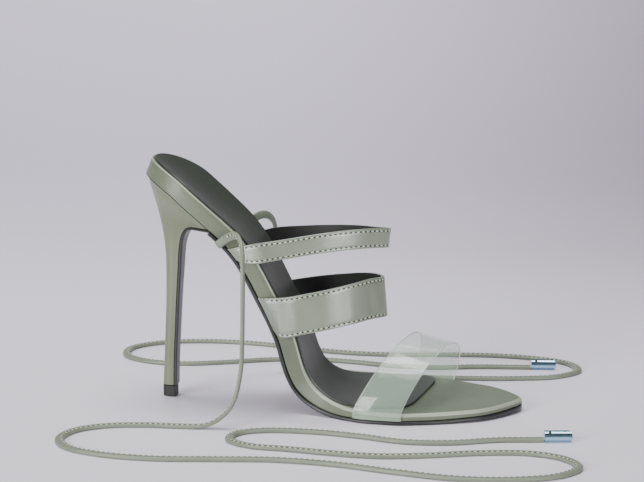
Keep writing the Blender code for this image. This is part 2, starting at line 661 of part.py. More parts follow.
def straps(sole, leather, vinyl, collection):
    shares = np.linspace(0.0, 1.0, STRAP_COLUMNS)
    narrow = [loop_column(sole, NARROW_ANCHOR, NARROW_UPPER, NARROW_WIDTH, NARROW_LEAN, f)
              for f in shares]
    wide = [loop_column(sole, WIDE_ANCHOR, WIDE_UPPER, WIDE_WIDTH, WIDE_LEAN, f)
            for f in shares]
    clear = [arch_column(sole, CLEAR_ANCHOR, f) for f in shares]
    strap("instep_strap_narrow", narrow, STRAP_THICK, leather, collection)
    strap("instep_strap_wide", wide, STRAP_THICK, leather, collection)
    strap("toe_strap_clear", clear, CLEAR_THICK, vinyl, collection)


def tie(name, route, mat, collection):
    """A tie as a tube along its route."""
    points = curve_through(route, TIE_POINTS)
    curve = bpy.data.curves.new(name, "CURVE")
    curve.dimensions = "3D"
    curve.bevel_depth = TIE_DIAMETER / 2 * MM
    curve.bevel_resolution = 2
    curve.use_fill_caps = True
    spline = curve.splines.new("POLY")
    spline.points.add(len(points) - 1)
    for slot, point in zip(spline.points, points):
        slot.co = (*(point * MM), 1.0)
    curve.materials.append(mat)
    obj = bpy.data.objects.new(name, curve)
    collection.objects.link(obj)
    return points


def aglet(name, points, mat, collection):
    """Metal tube end, cut at a slant, in line with the end of its tie."""
    end = points[-1]
    way = points[-1] - points[-2]
    way[2] = 0.0
    way /= np.linalg.norm(way)
    shape = bmesh.new()
    bmesh.ops.create_cone(shape, cap_ends=True, segments=AGLET_SIDES, radius1=AGLET_DIAMETER / 2,
                          radius2=AGLET_DIAMETER / 2, depth=AGLET_LENGTH)
    for vert in shape.verts:
        if vert.co.z > 0:
            vert.co.z -= AGLET_SLANT * (0.5 + vert.co.x / AGLET_DIAMETER)
    middle = Vector(end) + Vector(way) * (GAP + AGLET_LENGTH / 2)
    middle.z = AGLET_DIAMETER / 2
    turn = Vector((0, 0, 1)).rotation_difference(Vector(way)).to_matrix().to_4x4()
    bmesh.ops.transform(shape, matrix=Matrix.Scale(MM, 4) @ Matrix.Translation(middle) @ turn,
                        verts=shape.verts)
    mesh = bpy.data.meshes.new(name)
    shape.to_mesh(mesh)
    shape.free()
    mesh.materials.append(mat)
    mesh.shade_smooth()
    mesh.set_sharp_from_angle(angle=math.radians(AGLET_SHARP_TURN))
    obj = bpy.data.objects.new(name, mesh)
    collection.objects.link(obj)
    return obj


def stand_on_origin(collection, left_out):
    """Move everything so that the origin is on the floor under the shoe's middle."""
    bpy.context.view_layer.update()
    graph = bpy.context.evaluated_depsgraph_get()
    corners = []
    for obj in collection.objects:
        if obj.name not in left_out:
            shown = obj.evaluated_get(graph)
            corners += [obj.matrix_world @ Vector(c) for c in shown.bound_box]
    low = Vector([min(c[i] for c in corners) for i in range(3)])
    high = Vector([max(c[i] for c in corners) for i in range(3)])
    shift = Vector((-(low.x + high.x) / 2, -(low.y + high.y) / 2, -low.z))
    for obj in collection.objects:
        obj.location += shift


def main():
    clear_scene()
    collection = bpy.data.collections.new(COLLECTION)
    bpy.context.scene.collection.children.link(collection)
    leather = material("sage_leather", (0.33, 0.36, 0.28), 0.42)
    black = material("black_sole_leather", (0.02, 0.022, 0.02), 0.45)
    lining = material("black_sock", (0.04, 0.045, 0.04), 0.5)
    rubber = material("black_rubber", (0.015, 0.015, 0.015), 0.6)
    vinyl = material("clear_vinyl", (0.75, 0.8, 0.76), 0.08, alpha=0.3)
    cord = material("sage_cord", (0.35, 0.38, 0.31), 0.45)
    metal = material("blue_metal", (0.45, 0.62, 0.72), 0.2, metallic=1.0)
    sole = Sole()
    shape = Heel(sole)
    insole_board(sole, leather, collection)
    sock(sole, lining, collection)
    outsole(sole, shape, black, collection)
    heel(shape, leather, collection)
    heel_tip(rubber, collection)
    straps(sole, leather, vinyl, collection)
    outer = tie("tie_outer", TIE_OUTER_ROUTE, cord, collection)
    inner = tie("tie_inner", TIE_INNER_ROUTE, cord, collection)
    aglet("aglet_outer", outer, metal, collection)
    aglet("aglet_inner", inner, metal, collection)
    stand_on_origin(collection, ("tie_outer", "tie_inner", "aglet_outer", "aglet_inner"))


main()
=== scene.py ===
"""Looks of the strappy heeled sandal: leather, lining, stitches, clear vinyl, ties and studio.

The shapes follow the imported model's own sections, with finer rows. Sizes are in millimetres in
the heel's frame: origin on the floor under the middle of the heel's stem, X towards the toe,
Y towards the inner side of the foot, Z up. at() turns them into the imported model's frame.
"""
import math
from collections import namedtuple

import bmesh
import bpy
import numpy as np
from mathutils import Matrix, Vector


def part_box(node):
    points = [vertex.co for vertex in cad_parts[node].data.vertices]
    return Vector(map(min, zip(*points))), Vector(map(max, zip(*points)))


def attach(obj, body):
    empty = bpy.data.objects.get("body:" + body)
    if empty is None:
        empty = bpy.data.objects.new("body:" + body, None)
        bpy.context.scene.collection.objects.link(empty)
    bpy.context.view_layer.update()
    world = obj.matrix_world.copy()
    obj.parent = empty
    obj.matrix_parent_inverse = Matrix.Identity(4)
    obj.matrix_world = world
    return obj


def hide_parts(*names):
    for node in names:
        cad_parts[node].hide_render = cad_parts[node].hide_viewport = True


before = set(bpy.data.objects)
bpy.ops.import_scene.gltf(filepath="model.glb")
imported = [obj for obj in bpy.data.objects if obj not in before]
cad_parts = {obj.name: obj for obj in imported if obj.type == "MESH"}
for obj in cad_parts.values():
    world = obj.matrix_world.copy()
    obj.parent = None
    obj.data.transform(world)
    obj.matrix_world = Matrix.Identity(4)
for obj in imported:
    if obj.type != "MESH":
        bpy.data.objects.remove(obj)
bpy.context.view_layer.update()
MM = 0.001

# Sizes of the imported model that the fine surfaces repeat
LENGTH = 191.4
SEAT_RISE = 121.8
BALL_WIDTH = 78.6
BOARD_THICK = 8.6
BALL_THICK = 3.6
CUP_DEPTH = 2.6
SEAT_ROUND = 28.0
TOE_ROUND = 22.0
OUTSOLE_THICK = 1.7
OUTSOLE_EDGE = 0.9
FLAP_THICK = 1.3
SOCK_THICK = 0.9
SOCK_INSET = 1.5
SOCK_BALL_INSET = 7.5
SOCK_BALL_FROM = 0.60
SOCK_BALL_TO = 0.78
SOCK_FRONT = 0.8015
SOCK_SLANT = 0.0158
SOCK_CORNER = 0.022
SOCK_CORNER_POWER = 7.0
GAP = 0.3
END_LIFT = 0.35
SEAT_OVERHANG = 7.4
STEM_WIDTH = 8.6
STEM_DEPTH = 7.0
TIP_HEIGHT = 6.0
TIP_LENGTH = 7.2
TIP_WIDTH = 7.4
STRAP_THICK = 1.6
NARROW_WIDTH = 10.1
WIDE_WIDTH = 20.6
CLEAR_THICK = 1.0
CLEAR_HEIGHT = 31.4
SEAT_START = 0.4
BALL_TOP = BALL_THICK + GAP + OUTSOLE_THICK

SoleRow = namedtuple("SoleRow", "along rise outer inner thick cup")
SOLE_ROWS = [SoleRow(*row) for row in (
    (0.000, 1.000, 0.310, 0.310, 1.02, 0.20), (0.039, 0.974, 0.315, 0.315, 1.02, 0.70),
    (0.100, 0.918, 0.322, 0.320, 1.00, 1.00), (0.142, 0.863, 0.325, 0.320, 1.00, 1.00),
    (0.182, 0.808, 0.320, 0.315, 1.00, 0.90), (0.218, 0.758, 0.312, 0.304, 0.99, 0.70),
    (0.246, 0.716, 0.304, 0.290, 0.98, 0.55), (0.284, 0.646, 0.292, 0.268, 0.97, 0.40),
    (0.314, 0.571, 0.285, 0.250, 0.96, 0.30), (0.358, 0.440, 0.282, 0.238, 0.96, 0.25),
    (0.386, 0.353, 0.281, 0.238, 0.97, 0.25), (0.408, 0.272, 0.283, 0.244, 0.99, 0.25),
    (0.431, 0.156, 0.291, 0.262, 1.00, 0.30), (0.447, 0.103, 0.299, 0.284, 0.97, 0.30),
    (0.469, 0.064, 0.318, 0.318, 0.82, 0.25), (0.498, 0.034, 0.350, 0.372, 0.58, 0.20),
    (0.527, 0.017, 0.388, 0.424, 0.38, 0.10), (0.560, 0.008, 0.428, 0.470, 0.22, 0.05),
    (0.621, 0.002, 0.474, 0.510, 0.06, 0.00), (0.692, 0.000, 0.482, 0.520, 0.00, 0.00),
    (0.749, 0.001, 0.455, 0.505, 0.00, 0.00), (0.812, 0.002, 0.402, 0.452, 0.00, 0.00),
    (0.880, 0.004, 0.330, 0.366, -0.04, 0.00), (0.941, 0.006, 0.252, 0.292, -0.08, 0.00),
    (1.000, 0.009, 0.136, 0.184, -0.12, 0.00),
)]

HeelRow = namedtuple("HeelRow", "back_x back_z front_x front_z half seat")
HEEL_ROWS = [HeelRow(*row) for row in (
    (-0.57, 0.073, 0.32, 0.073, 0.41, 0.00), (-0.47, 0.200, 0.36, 0.200, 0.42, 0.00),
    (-0.35, 0.400, 0.50, 0.400, 0.45, 0.00), (-0.25, 0.580, 0.64, 0.580, 0.48, 0.00),
    (-0.22, 0.760, 0.80, 0.750, 0.53, 0.02), (-0.30, 0.880, 0.92, 0.868, 0.60, 0.05),
    (-0.46, 0.970, 1.16, 0.940, 0.74, 0.12), (-0.68, 1.050, 1.60, 0.985, 0.95, 0.25),
    (-0.94, 1.130, 2.20, 0.998, 1.30, 0.42), (-1.20, 1.205, 2.90, 1.000, 1.72, 0.62),
    (-1.44, 1.280, 3.60, 1.000, 2.12, 0.82),
)]
LIP_ALONG = 0.199
STEM_ROUND = 0.62

Anchor = namedtuple("Anchor", "outer_rear outer_fore inner_rear inner_fore")
NARROW_ANCHOR = Anchor(0.252, 0.286, 0.256, 0.290)
WIDE_ANCHOR = Anchor(0.376, 0.452, 0.378, 0.454)
CLEAR_ANCHOR = Anchor(0.681, 0.776, 0.752, 0.846)

EdgeRow = namedtuple("EdgeRow", "ahead across up")
NARROW_UPPER = [EdgeRow(*row) for row in (
    (0.300, -0.326, 0.668), (0.383, -0.321, 0.691), (0.467, -0.280, 0.713), (0.542, -0.200, 0.724),
    (0.600, -0.102, 0.724), (0.638, 0.004, 0.716), (0.603, 0.108, 0.706), (0.542, 0.206, 0.700),
    (0.467, 0.284, 0.690), (0.383, 0.321, 0.678), (0.300, 0.322, 0.664),
)]
WIDE_UPPER = [EdgeRow(*row) for row in (
    (0.380, -0.318, 0.447), (0.440, -0.324, 0.466), (0.500, -0.290, 0.485), (0.556, -0.214, 0.502),
    (0.594, -0.118, 0.511), (0.621, 0.004, 0.508), (0.595, 0.126, 0.504), (0.556, 0.216, 0.494),
    (0.500, 0.286, 0.478), (0.440, 0.315, 0.463), (0.380, 0.306, 0.448),
)]
NARROW_LEAN = -1.0
WIDE_LEAN = 1.8
CLEAR_BOW = 1.9
CLEAR_SWEEP = 1.0
CLEAR_REAR_CROWN = 0.700
CLEAR_FRONT_CROWN = 0.802
CLEAR_FRONT_DROP = 0.86

# The ties' routes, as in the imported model: the rise, and what lies on the floor at TIE_LOW
TIE_LOW = 2.2
TIE_OUTER_RISE = [
    (33.0, -27.3, 86.5), (37.2, -28.4, 89.7), (43.0, -33.2, 92.3), (47.5, -40.5, 89.4),
    (49.8, -48.0, 80.0), (50.4, -51.0, 65.0), (50.4, -52.5, 45.0), (49.6, -54.5, 26.0),
    (45.5, -57.5, 11.0), (35.0, -60.5, 3.4),
]
TIE_OUTER_FLOOR = [
    (20.0, -62.0), (2.0, -63.0), (-16.0, -68.0), (-28.5, -79.0), (-31.0, -94.0), (-22.0, -108.0),
    (-3.0, -116.0), (22.0, -118.0), (50.0, -114.0), (78.0, -110.0), (107.0, -112.0),
    (136.0, -119.0), (164.0, -124.0), (191.0, -121.0), (211.0, -111.0), (218.0, -97.0),
    (210.0, -84.0), (193.0, -78.5), (171.0, -82.0), (148.0, -90.0), (125.0, -95.5), (102.0, -94.5),
    (81.0, -91.5), (62.0, -89.5), (50.5, -81.5), (50.5, -70.5), (61.0, -62.5), (86.0, -60.0),
    (110.0, -63.5), (134.0, -69.5), (156.0, -67.0), (177.0, -58.5), (199.0, -54.0),
]
TIE_INNER_RISE = [
    (33.0, 26.25, 86.5), (37.2, 27.4, 89.7), (42.6, 32.8, 92.1), (46.0, 40.5, 89.2),
    (47.0, 48.0, 80.0), (46.4, 51.0, 65.0), (45.0, 52.5, 45.0), (45.0, 54.5, 26.0),
    (49.5, 57.5, 11.0), (60.0, 60.5, 3.4),
]
TIE_INNER_FLOOR = [
    (76.0, 61.5), (98.0, 59.0), (122.0, 57.0), (148.0, 59.0), (174.0, 63.0), (197.0, 71.0),
    (208.0, 86.0), (202.0, 102.0), (184.0, 111.0), (160.0, 114.0), (132.0, 111.0), (104.0, 106.0),
    (76.0, 106.0), (48.0, 112.0), (20.0, 119.0), (-8.0, 120.0), (-34.0, 112.0), (-48.0, 96.0),
    (-46.0, 78.0), (-31.0, 66.0), (-10.0, 64.0), (12.0, 71.0), (34.0, 81.0), (58.0, 87.0),
    (82.0, 85.0), (106.0, 80.0), (130.0, 80.0), (152.0, 86.0), (182.0, 90.0),
]
AGLET_LENGTH = 13.5
AGLET_DIAMETER = 5.6
AGLET_SLANT = 2.6
AGLET_WALL = 0.5
AGLET_BORE = 4.0           # depth of the open end
AGLET_SIDES = 40

# Sizes that only the looks have
STRAP_EDGE = 0.5           # radius of the leather straps' edges
TIE_WIDTH = 4.4
TIE_THICK = 2.1
TIE_ROWS = 520
TIE_SIDES = 20
TIE_SEAM = 0.85            # the ties' stitches lie this far beside their middle
TIE_OFF_FLOOR = 0.05
SEAM_SINK = 0.09           # how deep a stitch line lies in its groove
STITCH_END = 3.0           # no stitch is nearer to a strap's end
LINE_END = 1.5             # a stitch line keeps this clear at its ends
STITCH_PITCH = 2.7
STITCH_SIZE = (0.725, 0.322, 0.28)     # half sizes, along, across and up
HOLE_SIZE = (0.58, 0.58, 0.14)
STITCH_SINK = 0.02         # how deep stitches and holes are set into the surface
STITCH_INSET = 1.35
LOWEST = 0.03              # no point of a tie is nearer to the floor
BOARD_CENTRE = (20.0, 14.0)            # the top's centre line ends this far from heel and toe

# The camera, as seen from the photograph: distances in the heel's frame
CAMERA_LENS = 108.785
CAMERA_SENSOR = 36.0
CAMERA_TARGET = (80.727, 0.0, 84.894)
CAMERA_DISTANCE = 995.725
CAMERA_YAW = 10.3107
CAMERA_PITCH = 10.2248


def heel_shift():
    """Where the heel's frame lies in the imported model, from the box of the heel's top piece."""
    low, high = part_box("heel_tip")
    back = HEEL_ROWS[0].back_x * STEM_DEPTH
    return np.array([low.x / MM - back, (low.y + high.y) / 2 / MM, 0.0])


SHIFT = heel_shift()


def at(points):
    """Points in millimetres in the heel's frame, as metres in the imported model's frame."""
    return (np.asarray(points, float) + SHIFT) * MM


def add_object(name, data):
    obj = bpy.data.objects.new(name, data)
    bpy.context.scene.collection.objects.link(obj)
    return obj


def make_camera():
    yaw = math.radians(CAMERA_YAW)
    pitch = math.radians(CAMERA_PITCH)
    forward = Vector((-math.sin(yaw) * math.cos(pitch), math.cos(yaw) * math.cos(pitch),
                      -math.sin(pitch)))
    target = Vector(at(CAMERA_TARGET))
    data = bpy.data.cameras.new("photo_camera")
    data.lens = CAMERA_LENS
    data.sensor_fit = "HORIZONTAL"
    data.sensor_width = CAMERA_SENSOR
    data.clip_start = 0.01
    data.clip_end = 20.0
    camera = add_object("photo_camera", data)
    camera.location = target - forward * CAMERA_DISTANCE * MM
    camera.rotation_euler = forward.to_track_quat("-Z", "Y").to_euler()
    bpy.context.scene.camera = camera


make_camera()


# Materials

def set_inputs(node, settings):
    for socket, value in settings.items():
        node.inputs[socket].default_value = value


def add_node(tree, kind, settings, links):
    """A shader node with values set and sources linked, each by its socket's name or number."""
    node = tree.nodes.new("ShaderNode" + kind)
    set_inputs(node, settings)
    for socket, source in links.items():
        tree.links.new(source, node.inputs[socket])
    return node


def new_material(name, colour, roughness, metallic=0.0):
    """A Principled material with its object coordinates ready for textures."""
    mat = bpy.data.materials.new(name)
    mat.use_nodes = True
    tree = mat.node_tree
    shader = tree.nodes["Principled BSDF"]
    set_inputs(shader, {"Base Color": (*colour, 1.0), "Roughness": roughness,
                        "Metallic": metallic})
    where = tree.nodes.new("ShaderNodeTexCoord")
    return mat, tree, shader, where.outputs["Object"]


def noise(tree, where, scale, detail=3.0, roughness=0.55):
    settings = {"Scale": scale, "Detail": detail, "Roughness": roughness}
    return add_node(tree, "TexNoise", settings, {"Vector": where}).outputs["Fac"]


def cells(tree, where, scale):
    node = add_node(tree, "TexVoronoi", {"Scale": scale}, {"Vector": where})
    node.feature = "SMOOTH_F1"
    return node.outputs["Distance"]


def ramp(tree, value, stops):
    node = tree.nodes.new("ShaderNodeValToRGB")
    ends = node.color_ramp.elements
    for end, (place, colour) in zip(ends, (stops[0], stops[-1])):
        end.position = place
        end.color = (*colour, 1.0)
    for place, colour in stops[1:-1]:
        added = ends.new(place)
        added.color = (*colour, 1.0)
    tree.links.new(value, node.inputs["Fac"])
    return node.outputs["Color"]


def vary_roughness(tree, shader, value, low, high):
    """Roughness from low to high, following a value from 0 to 1."""
    node = add_node(tree, "MapRange", {"To Min": low, "To Max": high}, {"Value": value})
    tree.links.new(node.outputs["Result"], shader.inputs["Roughness"])


def add_bump(tree, shader, height, strength, distance):
    settings = {"Strength": strength, "Distance": distance}
    node = add_node(tree, "Bump", settings, {"Height": height})
    tree.links.new(node.outputs["Normal"], shader.inputs["Normal"])


def leather(name, colour, roughness=0.40, coat=0.12, coat_roughness=0.32, coat_ior=1.5,
            specular=0.5):
    """Fine-grained smooth leather: pores, a little cloudiness and a satin sheen."""
    mat, tree, shader, where = new_material(name, colour, roughness)
    dark = tuple(c * 0.90 for c in colour)
    pale = tuple(min(c * 1.08, 1.0) for c in colour)
    cloud = ramp(tree, noise(tree, where, 42.0, 4.0), [(0.32, dark), (0.52, colour), (0.70, pale)])
    tree.links.new(cloud, shader.inputs["Base Color"])
    pores = {2: cells(tree, where, 1500.0), 3: noise(tree, where, 2600.0, 2.0)}
    grain = add_node(tree, "Mix", {"Factor": 0.35}, pores)
    add_bump(tree, shader, grain.outputs[0], 0.22, 0.00012)
    vary_roughness(tree, shader, noise(tree, where, 160.0), roughness - 0.05, roughness + 0.06)
    set_inputs(shader, {"Specular IOR Level": specular, "Coat Weight": coat,
                        "Coat Roughness": coat_roughness, "Coat IOR": coat_ior,
                        "Sheen Weight": 0.06, "Sheen Roughness": 0.5})
    return mat


def rubber():
    mat, tree, shader, where = new_material("tip_rubber", (0.012, 0.013, 0.012), 0.55)
    add_bump(tree, shader, noise(tree, where, 1800.0, 2.0), 0.2, 0.00012)
    vary_roughness(tree, shader, noise(tree, where, 300.0), 0.45, 0.65)
    return mat


def thread():
    """Pale thread with a fine twist."""
    mat, tree, shader, where = new_material("thread", (0.66, 0.70, 0.58), 0.5)
    twist = add_node(tree, "TexWave", {"Scale": 900.0}, {"Vector": where})
    twist.bands_direction = "DIAGONAL"
    add_bump(tree, shader, twist.outputs["Fac"], 0.35, 0.0001)
    set_inputs(shader, {"Sheen Weight": 0.2})
    return mat


# Painted shade: dark spots laid on the surface stand in for the shade inside needle holes and the
# aglet's hole.
def hole_shade_paint():
    mat, tree, shader, where = new_material("needle_hole_painted_shade", (0.012, 0.014, 0.012), 0.8)
    vary_roughness(tree, shader, noise(tree, where, 900.0), 0.7, 0.9)
    return mat


def vinyl(name, colour, alpha, roughness):
    """Clear vinyl: mostly seen through, a little milky, with a bright gloss."""
    mat, tree, shader, where = new_material(name, colour, roughness)
    set_inputs(shader, {"Alpha": alpha, "Specular IOR Level": 1.0, "Coat Weight": 1.0,
                        "Coat Roughness": 0.09})
    add_bump(tree, shader, noise(tree, where, 70.0, 2.0), 0.25, 0.0006)
    vary_roughness(tree, shader, noise(tree, where, 55.0), roughness, roughness + 0.08)
    return mat


def blue_metal():
    """Light blue metal, brushed along its length."""
    mat, tree, shader, where = new_material("aglet_metal", (0.36, 0.58, 0.72), 0.16, 1.0)
    brushed = add_node(tree, "Mapping", {"Scale": (40.0, 900.0, 900.0)}, {"Vector": where})
    vary_roughness(tree, shader, noise(tree, brushed.outputs["Vector"], 1.0), 0.12, 0.24)
    add_bump(tree, shader, noise(tree, where, 500.0), 0.06, 0.0001)
    return mat


SAGE = (0.126, 0.150, 0.098)
OLIVE_SAGE = (0.155, 0.176, 0.104)
BOARD_SAGE = leather("board_sage", SAGE, 0.42)
# Painted highlight: the rounded rim bead gets a much paler, glossier copy of the sage leather, for
# the light its edge catches.
RIM_HIGHLIGHT_SAGE = leather("rim_sage_painted_highlight", (0.35, 0.395, 0.30), 0.32, coat=0.35)
# Painted shade: the board's cupped top gets a copy of the sage leather darker than the straps',
# for top-facing surfaces lying in less light.
TOP_SHADE_SAGE = leather("board_top_sage_painted_shade", (0.128, 0.160, 0.104), 0.50, coat=0.0)
STRAP_SAGE = leather("strap_sage", (0.178, 0.214, 0.142), 0.36, coat=1.0, coat_roughness=0.27,
                     coat_ior=1.75)
HEEL_SAGE = leather("heel_sage", OLIVE_SAGE, 0.40)
TIE_SAGE = leather("tie_sage", (0.185, 0.212, 0.150), 0.40)
LINING = leather("black_lining", (0.016, 0.018, 0.015), 0.45, coat=0.08)
SOCK = leather("sock_black", (0.026, 0.034, 0.024), 0.46, coat=0.05, specular=0.4)
SOLE_BLACK = leather("sole_black", (0.010, 0.011, 0.010), 0.42, coat=0.2)
TIP_RUBBER = rubber()
THREAD = thread()
HOLE_SHADE = hole_shade_paint()
VINYL = vinyl("clear_vinyl", (0.56, 0.74, 0.58), 0.22, 0.10)
# Painted highlight: the cut edges get a paler, more opaque vinyl for the light they catch.
VINYL_EDGE_HIGHLIGHT = vinyl("vinyl_edge_painted_highlight", (0.80, 0.90, 0.80), 0.82, 0.12)
METAL = blue_metal()


# Curves and meshes

def smooth(xs, ys, x):
    """A cubic through a table that never swings past its neighbours' values."""
    xs = np.asarray(xs, float)
    ys = np.asarray(ys, float)
    x = np.asarray(x, float)
    step = np.diff(xs)
    slope = np.diff(ys) / step
    tangent = np.empty_like(ys)
    tangent[0] = slope[0]
    tangent[-1] = slope[-1]
    before, after = slope[:-1], slope[1:]
    weight_a = 2 * step[1:] + step[:-1]
    weight_b = step[1:] + 2 * step[:-1]
    with np.errstate(divide="ignore", invalid="ignore"):
        mean = (weight_a + weight_b) / (weight_a / before + weight_b / after)
    tangent[1:-1] = np.where(before * after > 0, mean, 0.0)
    i = np.clip(np.searchsorted(xs, x) - 1, 0, len(step) - 1)
    t = (x - xs[i]) / step[i]
    h = step[i]
    rise = (2 * t**3 - 3 * t**2 + 1) * ys[i] + (3 * t**2 - 2 * t**3) * ys[i + 1]
    bend = (t**3 - 2 * t**2 + t) * h * tangent[i] + (t**3 - t**2) * h * tangent[i + 1]
    return rise + bend


def blend(first, second, start, end, t):
    return (end - t) / (end - start) * first + (t - start) / (end - start) * second


def catmull_rom(p, k, t):
    """Points of the centripetal curve through four points at the knots k."""
    t = t[:, None]
    a1, a2, a3 = [blend(p[i], p[i + 1], k[i], k[i + 1], t) for i in range(3)]
    b1 = blend(a1, a2, k[0], k[2], t)
    b2 = blend(a2, a3, k[1], k[3], t)
    return blend(b1, b2, k[1], k[2], t)


def added_up(steps):
    return np.concatenate([[0.0], np.cumsum(steps)])


def step_lengths(points):
    return np.linalg.norm(np.diff(points, axis=0), axis=1)


def places_along(places, run, points):
    """Values at the given places on a line whose points lie at run."""
    return np.column_stack([np.interp(places, run, points[:, k]) for k in range(3)])


def curve_through(points, count):
    """Points at even distances on a smooth curve through the given points."""
    pts = np.asarray(points, float)
    ends = np.vstack([2 * pts[0] - pts[1], pts, 2 * pts[-1] - pts[-2]])
    knots = added_up(step_lengths(ends) ** 0.5)
    fine = []
    for i in range(1, len(ends) - 2):
        t = np.linspace(knots[i], knots[i + 1], 24, endpoint=False)
        fine.append(catmull_rom(ends[i - 1:i + 3], knots[i - 1:i + 3], t))
    fine = np.vstack(fine + [pts[-1:]])
    run = added_up(step_lengths(fine))
    return places_along(np.linspace(0.0, run[-1], count), run, fine)


def step_up(value, low, high):
    """0 below low, 1 above high, and a smooth rise between."""
    t = np.clip((np.asarray(value, float) - low) / (high - low), 0.0, 1.0)
    return t * t * (3 - 2 * t)


def signed_power(value, power):
    return math.copysign(abs(value) ** power, value)


def unit(v):
    return v / np.maximum(np.linalg.norm(v, axis=-1, keepdims=True), 1e-12)


def make_piece(name, verts, faces, materials, node=None, indices=None, angle=38):
    """A mesh piece from points in the heel's frame, riding on the shoe."""
    mesh = bpy.data.meshes.new(name)
    mesh.from_pydata(at(verts).tolist(), [], faces)
    for mat in materials:
        mesh.materials.append(mat)
    if indices is not None:
        mesh.polygons.foreach_set("material_index", np.asarray(indices, np.int32))
    fix = bmesh.new()
    fix.from_mesh(mesh)
    bmesh.ops.remove_doubles(fix, verts=fix.verts, dist=2e-6)
    bmesh.ops.dissolve_degenerate(fix, edges=fix.edges, dist=1e-7)
    if fix.calc_volume(signed=True) < 0:
        bmesh.ops.reverse_faces(fix, faces=fix.faces)
    fix.to_mesh(mesh)
    fix.free()
    mesh.shade_smooth()
    mesh.set_sharp_from_angle(angle=math.radians(angle))
    obj = add_object(name, mesh)
    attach(obj, "root")
    if node:
        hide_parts(node)
    return obj


def ring_faces(rows, size, caps=True):
    """Faces of a closed body through rows of rings with size points each."""
    faces = []
    for i in range(rows - 1):
        for j in range(size):
            a = i * size + j
            b = i * size + (j + 1) % size
            faces.append((a, b, b + size, a + size))
    if caps:
        faces.append(tuple(range(size))[::-1])
        faces.append(tuple((rows - 1) * size + j for j in range(size)))
    return faces


def make_body(name, rings, mat, node=None, angle=38):
    """A closed body of one material through rings of points."""
    faces = ring_faces(len(rings), len(rings[0]))
    return make_piece(name, np.vstack(rings), faces, [mat], node, angle=angle)


def soft_edges(obj, width, segments=2, angle=50):
    """Round the edges of a piece that turn by more than the angle."""
    bevel = obj.modifiers.new("soft_edges", "BEVEL")
    bevel.width = width * MM
    bevel.segments = segments
    bevel.limit_method = "ANGLE"
    bevel.angle_limit = math.radians(angle)
    bevel.use_clamp_overlap = True


# The sole

class Sole:
    """The board's top surface, bent along the side profile, and what is measured from it."""

    def __init__(self):
        x = np.array([row.along for row in SOLE_ROWS]) * LENGTH - SEAT_OVERHANG
        z = np.array([row.rise for row in SOLE_ROWS]) * SEAT_RISE + BALL_TOP
        chord = added_up(np.hypot(np.diff(x), np.diff(z)))
        fine = np.linspace(0.0, chord[-1], 900)
        self.x = smooth(chord, x, fine)
        self.z = smooth(chord, z, fine)
        self.run = added_up(np.hypot(np.diff(self.x), np.diff(self.z)))
        self.length = self.run[-1]
        way = unit(np.column_stack([np.gradient(self.x, self.run), np.gradient(self.z, self.run)]))
        soft = np.exp(-np.linspace(-2, 2, 17) ** 2)
        soft /= soft.sum()
        for axis in (0, 1):
            padded = np.pad(way[:, axis], 8, mode="edge")
            way[:, axis] = np.convolve(padded, soft, mode="valid")
        self.way = unit(way)
        self.columns = {name: smooth(chord, [getattr(row, name) for row in SOLE_ROWS], fine)
                        for name in ("outer", "inner", "thick", "cup")}

    def value(self, name, s):
        return np.interp(s, self.run, self.columns[name])

    def end_round(self, s):
        """Share of the full width that the round ends leave at s."""
        heel = np.clip(np.asarray(s, float) / SEAT_ROUND, 0.0, 1.0)
        toe = np.clip((self.length - np.asarray(s, float)) / TOE_ROUND, 0.0, 1.0)
        return np.sqrt(1 - (1 - heel) ** 2) * np.sqrt(1 - (1 - toe) ** 2)

    def middle(self, s):
        return (self.value("inner", s) - self.value("outer", s)) / 2 * BALL_WIDTH

    def half(self, s):
        full = (self.value("inner", s) + self.value("outer", s)) / 2 * BALL_WIDTH
        return full * self.end_round(s)

    def sides(self, s, outset=0.0):
        return self.middle(s) - self.half(s) - outset, self.middle(s) + self.half(s) + outset

    def thick(self, s):
        return BALL_THICK + (BOARD_THICK - BALL_THICK) * self.value("thick", s)

    def cup(self, s, y):
        """Depth of the hollow top below the rim line."""
        across = (y - self.middle(s)) / np.maximum(self.half(s), 0.5)
        bowl = self.value("cup", s) * CUP_DEPTH * self.end_round(s)
        return bowl * np.clip(1 - across * across, 0.0, 1.0)

    def points(self, s, y, depth):
        """Points under the rim line at s, across y, depth below the rim."""
        s, y, depth = np.broadcast_arrays(np.asarray(s, float), y, depth)
        inside = np.clip(s, 0.0, self.length)
        way = np.stack([np.interp(inside, self.run, self.way[:, 0]),
                        np.interp(inside, self.run, self.way[:, 1])])
        over = s - inside
        x = np.interp(inside, self.run, self.x) + way[0] * over + way[1] * depth
        z = np.interp(inside, self.run, self.z) + way[1] * over - way[0] * depth
        return np.stack([x, y, z], axis=-1)

    def below(self, s, depth):
        """Side view point (x, z) at a depth below the board's underside at s."""
        return self.points(s, 0.0, self.thick(s) + depth)[..., [0, 2]]


SOLE = Sole()


def end_stations():
    """Surface lengths from heel to toe, close together where the outline is round."""
    turn = np.linspace(0.0, math.pi / 2, 26)
    heel = SEAT_ROUND * (1 - np.cos(turn))
    toe = SOLE.length - TOE_ROUND * (1 - np.cos(turn[::-1]))
    middle = np.linspace(heel[-1], toe[0], 112)
    return np.concatenate([heel[:-1], middle, toe[1:]])


